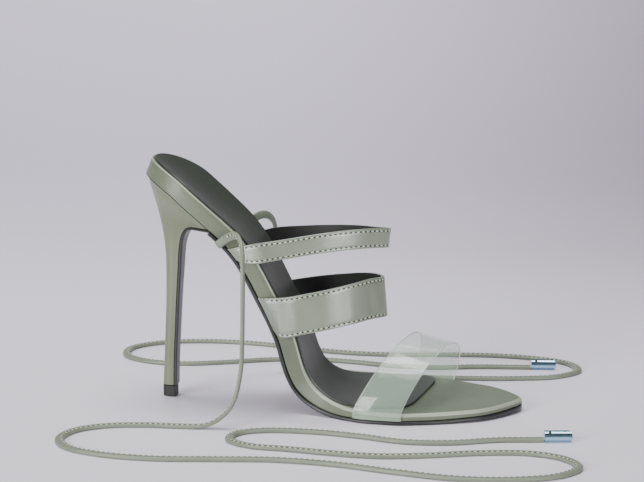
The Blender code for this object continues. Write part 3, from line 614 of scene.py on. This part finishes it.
def board_profile(s):
    """Insets and depths from the board's top over its rounded rim to its underside."""
    front = step_up(s, 0.45 * SOLE.length, 0.60 * SOLE.length)
    bead = 0.75 + 0.75 * front
    groove = 0.16 * (1 - step_up(s, 0.40 * SOLE.length, 0.55 * SOLE.length))
    thick = SOLE.thick(s)
    rows = []
    for angle in np.linspace(0.0, math.pi / 2, 7):
        rows.append((bead * (1 - math.sin(angle)), bead * (1 - math.cos(angle))))
    rows.append((groove * 0.9, bead + 0.25))
    rows.append((groove, bead + 0.42))
    rows.append((groove * 0.2, bead + 0.75))
    for share in (0.35, 0.6, 0.8):
        rows.append((0.0 * s, bead + 0.75 + (thick - 0.5 - bead - 0.75) * share))
    for angle in np.linspace(0.0, math.pi / 2, 4):
        rows.append((0.5 * (1 - math.cos(angle)), thick - 0.5 * (1 - math.sin(angle))))
    return rows


BOARD_TOP_SHARES = (1.0, 0.85, 0.7, 0.55, 0.42, 0.3, 0.2, 0.12, 0.06, 0.02)
RIM_HIGHLIGHT_ROWS = 6


def make_board():
    """The board wrapped in leather: cupped top, rounded rim with its fold line, smooth side; the
    top carries painted shade and the rim painted highlight.
    """
    stations = end_stations()
    s = np.concatenate([stations, stations[-2:0:-1]])
    outer = np.arange(len(s)) < len(stations)
    low, high = SOLE.sides(s)
    y = np.where(outer, low, high)
    along = np.roll(s, -1) - np.roll(s, 1)
    across = np.roll(y, -1) - np.roll(y, 1)
    inward = unit(np.column_stack([-across, along]))
    centre = np.column_stack([np.clip(s, BOARD_CENTRE[0], SOLE.length - BOARD_CENTRE[1]), 0 * s])
    centre[:, 1] = SOLE.middle(centre[:, 0])
    edge = np.column_stack([s, y])
    rows = []
    profile = board_profile(s)
    rim = edge + inward * profile[0][0][:, None]
    for share in BOARD_TOP_SHARES:
        spot = rim + (centre - rim) * share
        rows.append(SOLE.points(spot[:, 0], spot[:, 1], SOLE.cup(spot[:, 0], spot[:, 1])))
    for inset, depth in profile:
        spot = edge + inward * np.broadcast_to(inset, s.shape)[:, None]
        lift = SOLE.cup(spot[:, 0], spot[:, 1])
        depth = np.maximum(np.broadcast_to(depth, s.shape), lift)
        rows.append(SOLE.points(spot[:, 0], spot[:, 1], depth))
    under = edge + inward * 0.5
    for share in (0.1, 0.4, 0.7, 1.0):
        spot = under + (centre - under) * share
        rows.append(SOLE.points(spot[:, 0], spot[:, 1], SOLE.thick(spot[:, 0])))
    verts = np.vstack(rows)
    faces = ring_faces(len(rows), len(s), caps=False)
    # Material by row: the top rows take the darker top copy (painted shade), the rim bead rows the
    # paler copy (painted highlight), the rest the plain leather.
    of_row = [2] * len(BOARD_TOP_SHARES) + [1] * RIM_HIGHLIGHT_ROWS + [0] * len(rows)
    indices = [of_row[face[0] // len(s)] for face in faces]
    make_piece("board_wrapped", verts, faces, [BOARD_SAGE, RIM_HIGHLIGHT_SAGE, TOP_SHADE_SAGE],
               "insole_board", indices, angle=60)


def sock_front(u):
    straight = SOCK_FRONT + SOCK_SLANT * u
    return SOLE.length * (straight - SOCK_CORNER * np.abs(u) ** SOCK_CORNER_POWER)


def make_sock():
    """Thin dark lining with a round back end and a slanted front."""
    turn = np.linspace(0.0, math.pi / 2, 20)
    shares = np.concatenate([0.14 * (1 - np.cos(turn)), np.linspace(0.14, 1.0, 130)[1:]])
    across = np.sin(np.linspace(-math.pi / 2, math.pi / 2, 41))
    top, bottom = [], []
    for share in shares:
        s = SOCK_INSET + (sock_front(across) - SOCK_INSET) * share
        full = (SOLE.value("inner", s) + SOLE.value("outer", s)) / 2 * BALL_WIDTH - SOCK_INSET
        round_share = np.clip((s - SOCK_INSET) / (SEAT_ROUND - SOCK_INSET), 0.0, 1.0)
        half = full * np.sqrt(1 - (1 - round_share) ** 2)
        draw = SOCK_BALL_INSET * step_up(s / SOLE.length, SOCK_BALL_FROM, SOCK_BALL_TO)
        y = SOLE.middle(s) + draw / 2 + (half - draw / 2) * across
        depth = SOLE.cup(s, y) - GAP
        bottom.append(SOLE.points(s, y, depth))
        top.append(SOLE.points(s, y, depth - SOCK_THICK))
    rings = [np.vstack([t, b[::-1]]) for t, b in zip(top, bottom)]
    soft_edges(make_body("sock_lining", rings, SOCK, "sock"), 0.32)


class Heel:
    """The heel's sections, from its tip to the seat under the board."""

    def __init__(self):
        self.lip = LIP_ALONG * SOLE.length
        self.lip_half = float(SOLE.half(self.lip)) - GAP
        self.seat_back = SOLE.below(SEAT_START, GAP)
        self.seat_front = SOLE.below(self.lip, GAP)
        height = self.seat_front[1]
        sizes = [STEM_DEPTH, height, STEM_DEPTH, height, STEM_WIDTH, 1.0]
        rows = np.array(HEEL_ROWS) * sizes
        rows[0, [1, 3]] = TIP_HEIGHT + GAP
        self.table = np.vstack([rows, [*self.seat_back, *self.seat_front, self.lip_half, 1.0]])
        self.level = np.linspace(0.0, 1.0, len(self.table))

    def at(self, level):
        """The back and front point at a level, the half width and the seat's share."""
        row = np.array([float(smooth(self.level, column, level)) for column in self.table.T])
        return row[:2], row[2:4], row[4], row[5]

    def ring(self, level, shares):
        """A section's outline: down one side from the back to the front, and up the other."""
        back, front, half, seat = self.at(level)
        s = SEAT_START + (self.lip - SEAT_START) * shares
        straight = back + (front - back) * shares[:, None]
        chord = self.seat_back + (self.seat_front - self.seat_back) * shares[:, None]
        spots = straight + (SOLE.below(s, GAP) - chord) * seat
        stem = half * np.sqrt(1 - (1 - np.minimum(shares / STEM_ROUND, 1.0)) ** 2)
        wide = half * (SOLE.half(s) - GAP) / self.lip_half
        width = stem * (1 - seat) + np.maximum(wide, 0.0) * seat
        middle = SOLE.middle(s) * seat
        outer = np.column_stack([spots[:, 0], middle - width, spots[:, 1]])
        inner = np.column_stack([spots[:, 0], middle + width, spots[:, 1]])
        return np.vstack([outer, inner[::-1]])


HEEL = Heel()


def make_heel():
    """The leather-covered heel block and stem."""
    shares = (1 - np.cos(np.linspace(0.06, math.pi, 34))) / 2
    rings = [HEEL.ring(level, shares) for level in np.linspace(0.0, 1.0, 150)]
    heel = make_body("heel_covered", rings, HEEL_SAGE, "heel", 45)
    soft_edges(heel, 0.35, angle=60)


def make_tip():
    """Rubber top piece with softened edges."""
    back = HEEL_ROWS[0].back_x * STEM_DEPTH
    outline = []
    for angle in np.linspace(0.0, math.pi, 33):
        outline.append((back + TIP_WIDTH / 2 * (1 - math.sin(angle)),
                        TIP_WIDTH / 2 * math.cos(angle)))
    outline.append((back + TIP_LENGTH, -TIP_WIDTH / 2))
    outline.append((back + TIP_LENGTH, TIP_WIDTH / 2))
    rings = [[(x, y, z) for x, y in outline] for z in (0.0, TIP_HEIGHT)]
    soft_edges(make_body("tip", rings, TIP_RUBBER, "heel_tip"), 0.45, 3)


def outsole_ring(upper, lower, low, high):
    """Section of the outsole with softened edges, no lower than the floor."""
    lower = np.array([lower[0], max(lower[1], 0.0)])
    soft = min(0.3, (high - low) * 0.2)
    ring = []
    corners = ((upper, low, 1), (upper, high, -1), (lower, high, -1), (lower, low, 1))
    for i, (spot, y, turn) in enumerate(corners):
        other = lower if i < 2 else upper
        drop = spot + (other - spot) * 0.18
        across = [(drop, y), (spot, y + turn * soft)]
        if i in (1, 3):
            across.reverse()
        ring += [(p[0], q, p[1]) for p, q in across]
        if i in (0, 2):
            for share in (0.25, 0.5, 0.75):
                end = high if i == 0 else low
                ring.append((spot[0], y + (end - y) * share, spot[1]))
    return ring


def make_outsole():
    """Thin black sole, bent under the lip of the heel and down the front of its stem."""
    rings = []
    stations = [s for s in end_stations() if s > HEEL.lip + 1.5]
    stations[-1] -= 0.05
    for s in stations[::-1] + [HEEL.lip]:
        low, high = SOLE.sides(s, OUTSOLE_EDGE)
        rings.append(outsole_ring(SOLE.below(s, GAP), SOLE.below(s, GAP + OUTSOLE_THICK),
                                  low, high))
    levels = np.linspace(1.0, 0.0, 111)[1:]
    fronts = [HEEL.at(level) for level in levels]
    for i, (_, front, half, seat) in enumerate(fronts):
        before = fronts[i - 1][1] if i else HEEL.seat_front
        after = fronts[min(i + 1, len(fronts) - 1)][1]
        way = (after - before) / np.linalg.norm(after - before)
        out = np.array([-way[1], way[0]])
        middle = float(SOLE.middle(HEEL.lip)) * seat
        rings.append(outsole_ring(front + out * GAP, front + out * (GAP + FLAP_THICK),
                                  middle - half - GAP, middle + half + GAP))
    make_body("outsole_black", rings, SOLE_BLACK, "outsole", 50)


# Straps

def frame_point(row):
    return np.array([row.ahead * LENGTH - SEAT_OVERHANG, row.across * BALL_WIDTH,
                     row.up * SEAT_RISE + BALL_TOP])


def anchor_point(share, inner, lift=END_LIFT):
    """Point beside the board, clear of its side, at a height above its underside."""
    s = share * SOLE.length
    low, high = SOLE.sides(s, GAP)
    return SOLE.points(s, high if inner else low, SOLE.thick(s) - lift)


def column_anchors(anchor, f):
    outer = anchor.outer_rear + (anchor.outer_fore - anchor.outer_rear) * f
    inner = anchor.inner_rear + (anchor.inner_fore - anchor.inner_rear) * f
    return outer, inner


def loop_column(anchor, upper_rows, width, lean, f, count):
    """A strap's line at f across it, for a strap that runs forward round the instep."""
    outer, inner = column_anchors(anchor, f)
    crown = max(row.ahead for row in upper_rows)
    first = upper_rows[0].ahead
    points = [anchor_point(outer, False)]
    for row in upper_rows:
        near_crown = (row.ahead - first) / (crown - first)
        points.append(frame_point(row) + np.array([lean * near_crown ** 3, 0.0, -width]) * f)
    points.append(anchor_point(inner, True))
    return curve_through(points, count)


def arch_column(anchor, f, count):
    """The clear strap's line at f across it: up the board's sides and over the toes."""
    outer, inner = column_anchors(anchor, f)
    start = anchor_point(outer, False, SOLE.thick(outer * SOLE.length))
    end = anchor_point(inner, True, SOLE.thick(inner * SOLE.length))
    crown_along = CLEAR_REAR_CROWN + (CLEAR_FRONT_CROWN - CLEAR_REAR_CROWN) * f
    crown_x = crown_along * LENGTH - SEAT_OVERHANG
    crown_z = BALL_TOP + CLEAR_HEIGHT * (1 - (1 - CLEAR_FRONT_DROP) * f)
    points = [anchor_point(outer, False)]
    for angle in np.linspace(0.0, math.pi, 15):
        across = -signed_power(math.cos(angle), 2 / CLEAR_BOW)
        height = max(math.sin(angle), 0.0) ** (2 / CLEAR_BOW)
        foot = start + (end - start) * (across + 1) / 2
        x = foot[0] + (crown_x - (start[0] + end[0]) / 2) * height ** CLEAR_SWEEP
        z = foot[2] + (crown_z - (start[2] + end[2]) / 2) * height
        points.append((x, foot[1], z))
    points.append(anchor_point(inner, True))
    return curve_through(points, count)


class Wall:
    """A strap's wall: its inner face as a grid of lines, its outward normals, its thickness."""

    def __init__(self, columns, thick, skive=0.55):
        self.grid = np.stack(columns, axis=1)
        along = np.gradient(self.grid, axis=0)
        across = np.gradient(self.grid, axis=1)
        normal = unit(np.cross(along, across))
        centre = self.grid[[0, -1]].mean(axis=(0, 1))
        crown = len(self.grid) // 2
        side = self.grid[crown].mean(axis=0) - centre
        if normal[crown].mean(axis=0) @ side < 0:
            normal = -normal
        self.normal = normal
        self.width = np.linalg.norm(np.diff(self.grid, axis=1), axis=2).sum(axis=1)
        middle = self.grid[:, self.grid.shape[1] // 2]
        self.run = added_up(step_lengths(middle))
        self.length = self.run[-1]
        ends = np.minimum(self.run, self.length - self.run)
        self.thick = thick * (skive + (1 - skive) * step_up(ends, 0.0, 4.0))

    def place(self, i, across, height):
        """Point of row i at a distance from the first edge and a share of the thickness."""
        f = np.clip(across / self.width[i], 0.0, 1.0) * (self.grid.shape[1] - 1)
        k = int(min(f, self.grid.shape[1] - 2))
        w = f - k
        spot = self.grid[i, k] * (1 - w) + self.grid[i, k + 1] * w
        normal = unit(self.normal[i, k] * (1 - w) + self.normal[i, k + 1] * w)
        return spot + normal * height, normal


def wall_profile(width, thick, edge, rows, count):
    """Outline of a strap's section: (across, height, outer side or not), edges rounded."""
    corner = [(edge * (1 - math.cos(angle)), thick - edge * (1 - math.sin(angle)))
              for angle in np.linspace(0.0, math.pi / 2, 5)]
    profile = [(x, z, True) for x, z in corner]
    marks = sorted([width * (k + 1) / (count + 1) for k in range(count)]
                   + [row + d for row in rows for d in (-0.45, -0.22, 0.0, 0.22, 0.45)])
    for mark in marks:
        dip = sum(0.13 * math.exp(-((mark - row) / 0.28) ** 2) for row in rows)
        profile.append((mark, thick - dip, True))
    profile += [(width - x, z, True) for x, z in corner[::-1]]
    for share in (0.0, 0.25, 0.5, 0.75, 1.0):
        profile.append((width - 0.08 - (width - 0.16) * share, 0.0, False))
    return profile


def make_wall(name, wall, node, creases, count):
    """A leather strap with rounded edges, grooves for its stitches and a black inner side."""
    rows = []
    for i in range(len(wall.grid)):
        thick = wall.thick[i]
        width = wall.width[i]
        seams = (STITCH_INSET, width - STITCH_INSET)
        profile = wall_profile(width, thick, min(STRAP_EDGE, thick * 0.45), seams, count)
        along = wall.run[i] / wall.length
        fold = sum(depth * math.exp(-((along - place) / reach) ** 2)
                   for place, depth, reach in creases)
        for across, height, outer in profile:
            middle = math.sin(math.pi * min(max(across / width, 0.0), 1.0))
            rows.append(wall.place(i, across, height + fold * middle)[0])
    size = len(profile)
    faces = ring_faces(len(wall.grid), size)
    inner = [not profile[a % size][2] and not profile[b % size][2] for a, b, *_ in faces[:-2]]
    indices = [int(side) for side in inner] + [0, 0]
    make_piece(name, np.array(rows), faces, [STRAP_SAGE, LINING], node,
               indices, angle=50)


def ball(rings, sides):
    """Points and faces of a unit ball for stitches and holes."""
    verts = [(-1.0, 0.0, 0.0)]
    for i in range(1, rings):
        angle = math.pi * i / rings
        for j in range(sides):
            turn = 2 * math.pi * j / sides
            verts.append((-math.cos(angle), math.sin(angle) * math.cos(turn),
                          math.sin(angle) * math.sin(turn)))
    verts.append((1.0, 0.0, 0.0))
    faces = []
    for j in range(sides):
        faces.append((0, 1 + (j + 1) % sides, 1 + j))
        last = 1 + (rings - 2) * sides
        faces.append((len(verts) - 1, last + j, last + (j + 1) % sides))
    for i in range(rings - 2):
        for j in range(sides):
            a = 1 + i * sides + j
            b = 1 + i * sides + (j + 1) % sides
            faces.append((a, b, b + sides, a + sides))
    return np.array(verts), faces


STITCH_BALL = ball(6, 7)
HOLE_BALL = ball(4, 8)


def add_balls(parts, shape, spots, ways, normals, size):
    """Copies of a ball, stretched along each way and sunk into the surface."""
    verts, faces = shape
    for spot, way, normal in zip(spots, ways, normals):
        side = np.cross(normal, way)
        turn = np.array([way, side, normal])
        moved = (verts * size) @ turn + spot - normal * STITCH_SINK
        start = sum(len(v) for v, _ in parts)
        parts.append((moved, [tuple(start + k for k in face) for face in faces]))


def make_stitches(name, lines):
    """Pale stitches with dark spots of painted shade for needle holes between them, along lines of
    (spots, normals).
    """
    stitches, holes = [], []
    for spots, normals in lines:
        run = added_up(step_lengths(spots))
        count = int((run[-1] - 2 * LINE_END) / STITCH_PITCH)
        places = LINE_END + STITCH_PITCH * (np.arange(count) + 0.5)
        for parts, shape, shift, size in ((stitches, STITCH_BALL, 0.0, STITCH_SIZE),
                                          (holes, HOLE_BALL, STITCH_PITCH / 2, HOLE_SIZE)):
            at_run = places + shift
            spot = places_along(at_run, run, spots)
            normal = unit(places_along(at_run, run, normals))
            way = places_along(at_run + 0.4, run, spots) - spot
            way = unit(way - normal * np.sum(way * normal, axis=1)[:, None])
            add_balls(parts, shape, spot, way, normal, size)
    for label, parts, mat in ((name, stitches, THREAD), (name + "_hole_shades", holes, HOLE_SHADE)):
        verts = np.vstack([v for v, _ in parts])
        faces = [face for _, group in parts for face in group]
        make_piece(label, verts, faces, [mat])


def wall_line(wall, inset, far_edge):
    """A stitch line on a strap's outer face, inset from its first or last edge."""
    spots, normals = [], []
    for i in range(len(wall.grid)):
        if min(wall.run[i], wall.length - wall.run[i]) < STITCH_END:
            continue
        across = wall.width[i] - inset if far_edge else inset
        spot, normal = wall.place(i, across, wall.thick[i] - SEAM_SINK)
        spots.append(spot)
        normals.append(normal)
    return np.array(spots), np.array(normals)


def make_leather_straps():
    shares = np.linspace(0.0, 1.0, 9)
    for name, node, anchor, rows, width, lean, creases, count in (
            ("strap_narrow", "instep_strap_narrow", NARROW_ANCHOR, NARROW_UPPER, NARROW_WIDTH,
             NARROW_LEAN, ((0.17, 0.10, 0.02), (0.43, -0.14, 0.016), (0.58, 0.12, 0.02)), 6),
            ("strap_wide", "instep_strap_wide", WIDE_ANCHOR, WIDE_UPPER, WIDE_WIDTH,
             WIDE_LEAN, ((0.12, 0.14, 0.02), (0.30, -0.10, 0.02), (0.41, -0.22, 0.014),
                         (0.445, 0.16, 0.012), (0.60, -0.18, 0.02), (0.88, 0.12, 0.02)), 12)):
        columns = [loop_column(anchor, rows, width, lean, f, 220) for f in shares]
        wall = Wall(columns, STRAP_THICK)
        make_wall(name, wall, node, creases, count)
        lines = [wall_line(wall, STITCH_INSET, False), wall_line(wall, STITCH_INSET, True)]
        make_stitches(name + "_stitches", lines)


CREASE_ALONG = 0.385       # the fold line across the vinyl, as share of the strap's length
CREASE_TURN = 0.045
CREASE_HEIGHT = 0.7
CREASE_REACH = 0.006
CLEAR_STEPS = 14           # steps across the sheet


def make_clear_strap():
    """One sheet of clear vinyl whose cut edges carry a painted highlight."""
    shares = np.linspace(0.0, 1.0, 13)
    wall = Wall([arch_column(CLEAR_ANCHOR, f, 300) for f in shares], CLEAR_THICK, skive=1.0)
    rows = []
    steps = range(1, CLEAR_STEPS)
    for i in range(len(wall.grid)):
        width = wall.width[i]
        shape = [(0.0, 0.12), (0.0, 0.88), (0.12, 1.0)]
        shape += [(width * k / CLEAR_STEPS, 1.0) for k in steps]
        shape += [(width - 0.12, 1.0), (width, 0.88), (width, 0.12), (width - 0.12, 0.0)]
        shape += [(width * (CLEAR_STEPS - k) / CLEAR_STEPS, 0.0) for k in steps]
        shape += [(0.12, 0.0)]
        along = wall.run[i] / wall.length
        for across, height in shape:
            fold = along - CREASE_ALONG - CREASE_TURN * across / width
            lift = CREASE_HEIGHT * math.exp(-(fold / CREASE_REACH) ** 2)
            rows.append(wall.place(i, across, height * CLEAR_THICK + lift)[0])
    size = len(shape)
    faces = ring_faces(len(wall.grid), size)
    # The cut edge faces take the paler vinyl: painted highlight.
    cut = {size - 1, 0, 1, CLEAR_STEPS + 2, CLEAR_STEPS + 3, CLEAR_STEPS + 4}
    indices = [1 if face[0] % size in cut else 0 for face in faces[:-2]] + [1, 1]
    make_piece("strap_clear", np.array(rows), faces, [VINYL, VINYL_EDGE_HIGHLIGHT],
               "toe_strap_clear", indices, angle=35)


# Ties

def tie_section():
    """The ties' flat section, with a groove for the stitches on its upper side."""
    section = []
    for k in range(TIE_SIDES):
        angle = 2 * math.pi * k / TIE_SIDES
        y = signed_power(math.cos(angle), 0.62) * TIE_WIDTH / 2
        z = signed_power(math.sin(angle), 0.75) * TIE_THICK / 2
        if z > 0:
            z -= 0.16 * math.exp(-((y - TIE_SEAM) / 0.35) ** 2)
        section.append((y, z))
    return section


def tie_path(rise, floor):
    """A tie's centre line, a little lower where its flat side lies on the floor."""
    path = curve_through(rise + [(x, y, TIE_LOW) for x, y in floor], TIE_ROWS)
    lying = 1 - step_up(path[:, 2], TIE_LOW + 0.3, 14.0)
    rest = TIE_THICK / 2 + TIE_OFF_FLOOR
    path[:, 2] -= (TIE_LOW - rest) * lying
    path[:, 2] = np.maximum(path[:, 2], rest)
    return path


def tie_normals(path, outward):
    """Directions of the tie's flat side: outward at the shoe, upward on the floor."""
    way = unit(np.gradient(path, axis=0))
    normals = np.empty_like(path)
    last = np.array([0.0, outward, 0.0])
    for i in range(len(path)):
        last = last - way[i] * (last @ way[i])
        last /= np.linalg.norm(last)
        up = np.array([0.0, 0.0, 1.0]) - way[i] * way[i][2]
        if path[i, 2] < 16.0:
            turn = up if last @ up > -0.2 else np.cross(way[i], last)
            last = last + turn * 0.1
            last /= np.linalg.norm(last)
        normals[i] = last
    return normals


def make_tie(name, rise, floor, outward, node, aglet_node):
    """A folded and stitched flat cord with its metal end."""
    path = tie_path(rise, floor)
    normals = tie_normals(path, outward)
    way = unit(np.gradient(path, axis=0))
    sides = unit(np.cross(normals, way))
    section = tie_section()
    rings = np.stack([path + sides * y + normals * z for y, z in section], axis=1)
    rings[..., 2] = np.maximum(rings[..., 2], LOWEST)
    tie = make_body(name, rings, TIE_SAGE, node, 60)
    make_tie_root(name + "_root", path, normals, section, outward)
    line = path + sides * TIE_SEAM + normals * (TIE_THICK / 2 - 0.14)
    make_stitches(name + "_stitches", [(line[3:-3], normals[3:-3])])
    aglet = make_aglet(name + "_end", path, aglet_node)


def make_tie_root(name, path, normals, section, outward):
    """The tie's folded end, tucked between the board and the outsole."""
    start = path[0]
    way = unit(path[1] - path[0])
    inward = np.array([0.0, -outward, 0.0])
    route = [start + way * 0.3, start - way * 0.5 + inward * 0.5,
             start - way * 0.7 + inward * 2.0, start - way * 0.5 + inward * 4.0,
             start + inward * 7.0]
    line = curve_through(route, 14)
    ahead = unit(-np.gradient(line, axis=0))
    normal = normals[0]
    rings = []
    for spot, along in zip(line, ahead):
        normal = unit(normal - along * (normal @ along))
        side = np.cross(normal, along)
        rings.append([spot + side * y * 0.98 + normal * z * 0.98 for y, z in section])
    make_body(name, rings, TIE_SAGE, angle=60)


def make_aglet(name, path, node):
    """Metal tube with a slanted open end, a thin wall and a small round dark spot of painted shade
    near the cord, for a hole.
    """
    way = path[-1] - path[-4]
    way[2] = 0.0
    way /= np.linalg.norm(way)
    side = np.array([-way[1], way[0], 0.0])
    up = np.array([0.0, 0.0, 1.0])
    radius = AGLET_DIAMETER / 2
    start = path[-1] * np.array([1.0, 1.0, 0.0]) + up * radius + way * GAP
    rings = []
    stations = [(0.0, radius - 0.35), (0.0, radius - 0.12), (0.12, radius)]
    stations += [(AGLET_LENGTH * k / 12, radius) for k in range(1, 12)]
    bottom = AGLET_LENGTH - AGLET_BORE
    stations += [(AGLET_LENGTH - 0.12, radius), (AGLET_LENGTH, radius - 0.12),
                 (AGLET_LENGTH, radius - AGLET_WALL), (bottom, radius - AGLET_WALL),
                 (bottom, 0.02)]
    for along, r in stations:
        ring = []
        for k in range(AGLET_SIDES):
            angle = 2 * math.pi * k / AGLET_SIDES
            cut = AGLET_SLANT * (0.5 + math.cos(angle) * r / AGLET_DIAMETER)
            cut *= max(along / AGLET_LENGTH - 0.25, 0.0) / 0.75
            ring.append(start + way * (along - cut) + side * r * math.cos(angle)
                        + up * r * math.sin(angle))
        rings.append(ring)
    aglet = make_body(name, rings, METAL, node, 35)
    # Painted shade: a flat dark disc on the tube stands in for a hole.
    hole_verts, hole_faces = ball(6, 18)
    spot = start + way * 2.6 + up * (radius * 0.80) - side * (radius * 0.6)
    normal = unit(up * 0.80 - side * 0.6)
    across = np.cross(normal, way)
    verts = (hole_verts * (0.75, 0.75, 0.12)) @ np.array([way, across, normal]) + spot
    hole = make_piece(name + "_hole", verts, hole_faces, [HOLE_SHADE])
    hole.parent = aglet
    return aglet


make_tie("tie_outer_cord", TIE_OUTER_RISE, TIE_OUTER_FLOOR, -1.0, "tie_outer", "aglet_outer")
make_tie("tie_inner_cord", TIE_INNER_RISE, TIE_INNER_FLOOR, 1.0, "tie_inner", "aglet_inner")
make_board()
make_sock()
make_heel()
make_tip()
make_outsole()
make_leather_straps()
make_clear_strap()


# Studio, in metres

FLOOR_PALE = (0.93, 0.88, 1.0)
# Painted shade: the backdrop is darker than the floor, and darkest to the right, for the light
# falling off there.
BACKDROP_SHADE_LEFT = (0.66, 0.62, 0.74)
BACKDROP_SHADE_RIGHT = (0.265, 0.21, 0.265)
FLOOR_SIDE = 3.0
FLOOR_FRONT = -3.0
BEND_START = 0.45          # the floor starts to turn up here
BEND_RADIUS = 0.7
BEND_STEP = 4.6            # degrees
BEND_STEPS = 12

Light = namedtuple("Light", "name place target size power")
LIGHTS = [
    Light("left", (-0.85, -1.30, 0.46), (0.0, 0.0, 0.05), (0.75, 0.9), 27.0),
    Light("right", (0.92, -0.99, 0.17), (0.0, 0.0, 0.05), (0.50, 0.30), 7.0),
    Light("top", (0.0, 0.0, 1.7), (0.0, 0.1, 0.0), (1.2, 1.0), 16.5),
    Light("backdrop", (-0.35, 0.30, 1.5), (-0.25, 1.1, 0.1), (1.2, 0.6), 15.5),
]
WORLD_COLOUR = (0.97, 1.0, 0.97, 1.0)
WORLD_STRENGTH = 0.12


def share_between(tree, value, start, end):
    """0 up to the start, 1 from the end, and a smooth rise between."""
    settings = {"From Min": start, "From Max": end}
    node = add_node(tree, "MapRange", settings, {"Value": value})
    node.interpolation_type = "SMOOTHSTEP"
    return node.outputs["Result"]


def mix_colours(tree, share, first, second):
    """A first colour mixed with a second one, which may be another node's output."""
    node = add_node(tree, "Mix", {6: (*first, 1.0)}, {"Factor": share})
    node.data_type = "RGBA"
    if isinstance(second, tuple):
        set_inputs(node, {7: (*second, 1.0)})
    else:
        tree.links.new(second, node.inputs[7])
    return node.outputs[2]


def make_floor():
    """Pale glossy floor that turns up into the backdrop, with painted shade: darker from floor to
    backdrop and darker to the right.
    """
    depth = [(FLOOR_FRONT, 0.0), (BEND_START, 0.0)]
    for k in range(1, BEND_STEPS + 1):
        angle = math.radians(BEND_STEP) * k
        depth.append((BEND_START + BEND_RADIUS * math.sin(angle),
                      BEND_RADIUS * (1 - math.cos(angle))))
    verts = [(x, y, z) for y, z in depth for x in (-FLOOR_SIDE, FLOOR_SIDE)]
    faces = [(2 * i, 2 * i + 1, 2 * i + 3, 2 * i + 2) for i in range(len(depth) - 1)]
    mesh = bpy.data.meshes.new("floor")
    mesh.from_pydata(verts, [], faces)
    mesh.shade_smooth()
    mat, tree, shader, where = new_material("studio_floor_painted_shade", FLOOR_PALE, 0.22)
    split = add_node(tree, "SeparateXYZ", {}, {"Vector": where}).outputs
    shade_to_right = share_between(tree, split["X"], -0.25, 0.42)
    shade_to_back = share_between(tree, split["Y"], 0.05, 0.75)
    # Painted shade: darker to the right on the backdrop, and darker from floor to backdrop.
    wall = mix_colours(tree, shade_to_right, BACKDROP_SHADE_LEFT, BACKDROP_SHADE_RIGHT)
    tree.links.new(mix_colours(tree, shade_to_back, FLOOR_PALE, wall), shader.inputs["Base Color"])
    vary_roughness(tree, shader, noise(tree, where, 6.0), 0.22, 0.30)
    mesh.materials.append(mat)
    add_object("floor", mesh)


def make_lights():
    """A dim room, and soft area lights that face their targets."""
    world = bpy.data.worlds.new("studio")
    world.use_nodes = True
    background = world.node_tree.nodes["Background"]
    set_inputs(background, {"Color": WORLD_COLOUR, "Strength": WORLD_STRENGTH})
    bpy.context.scene.world = world
    for row in LIGHTS:
        data = bpy.data.lights.new(row.name, "AREA")
        data.shape = "RECTANGLE"
        data.size, data.size_y = row.size
        data.energy = row.power
        light = add_object(row.name, data)
        light.location = row.place
        way = Vector(row.target) - Vector(row.place)
        light.rotation_euler = way.to_track_quat("-Z", "Y").to_euler()


make_floor()
make_lights()
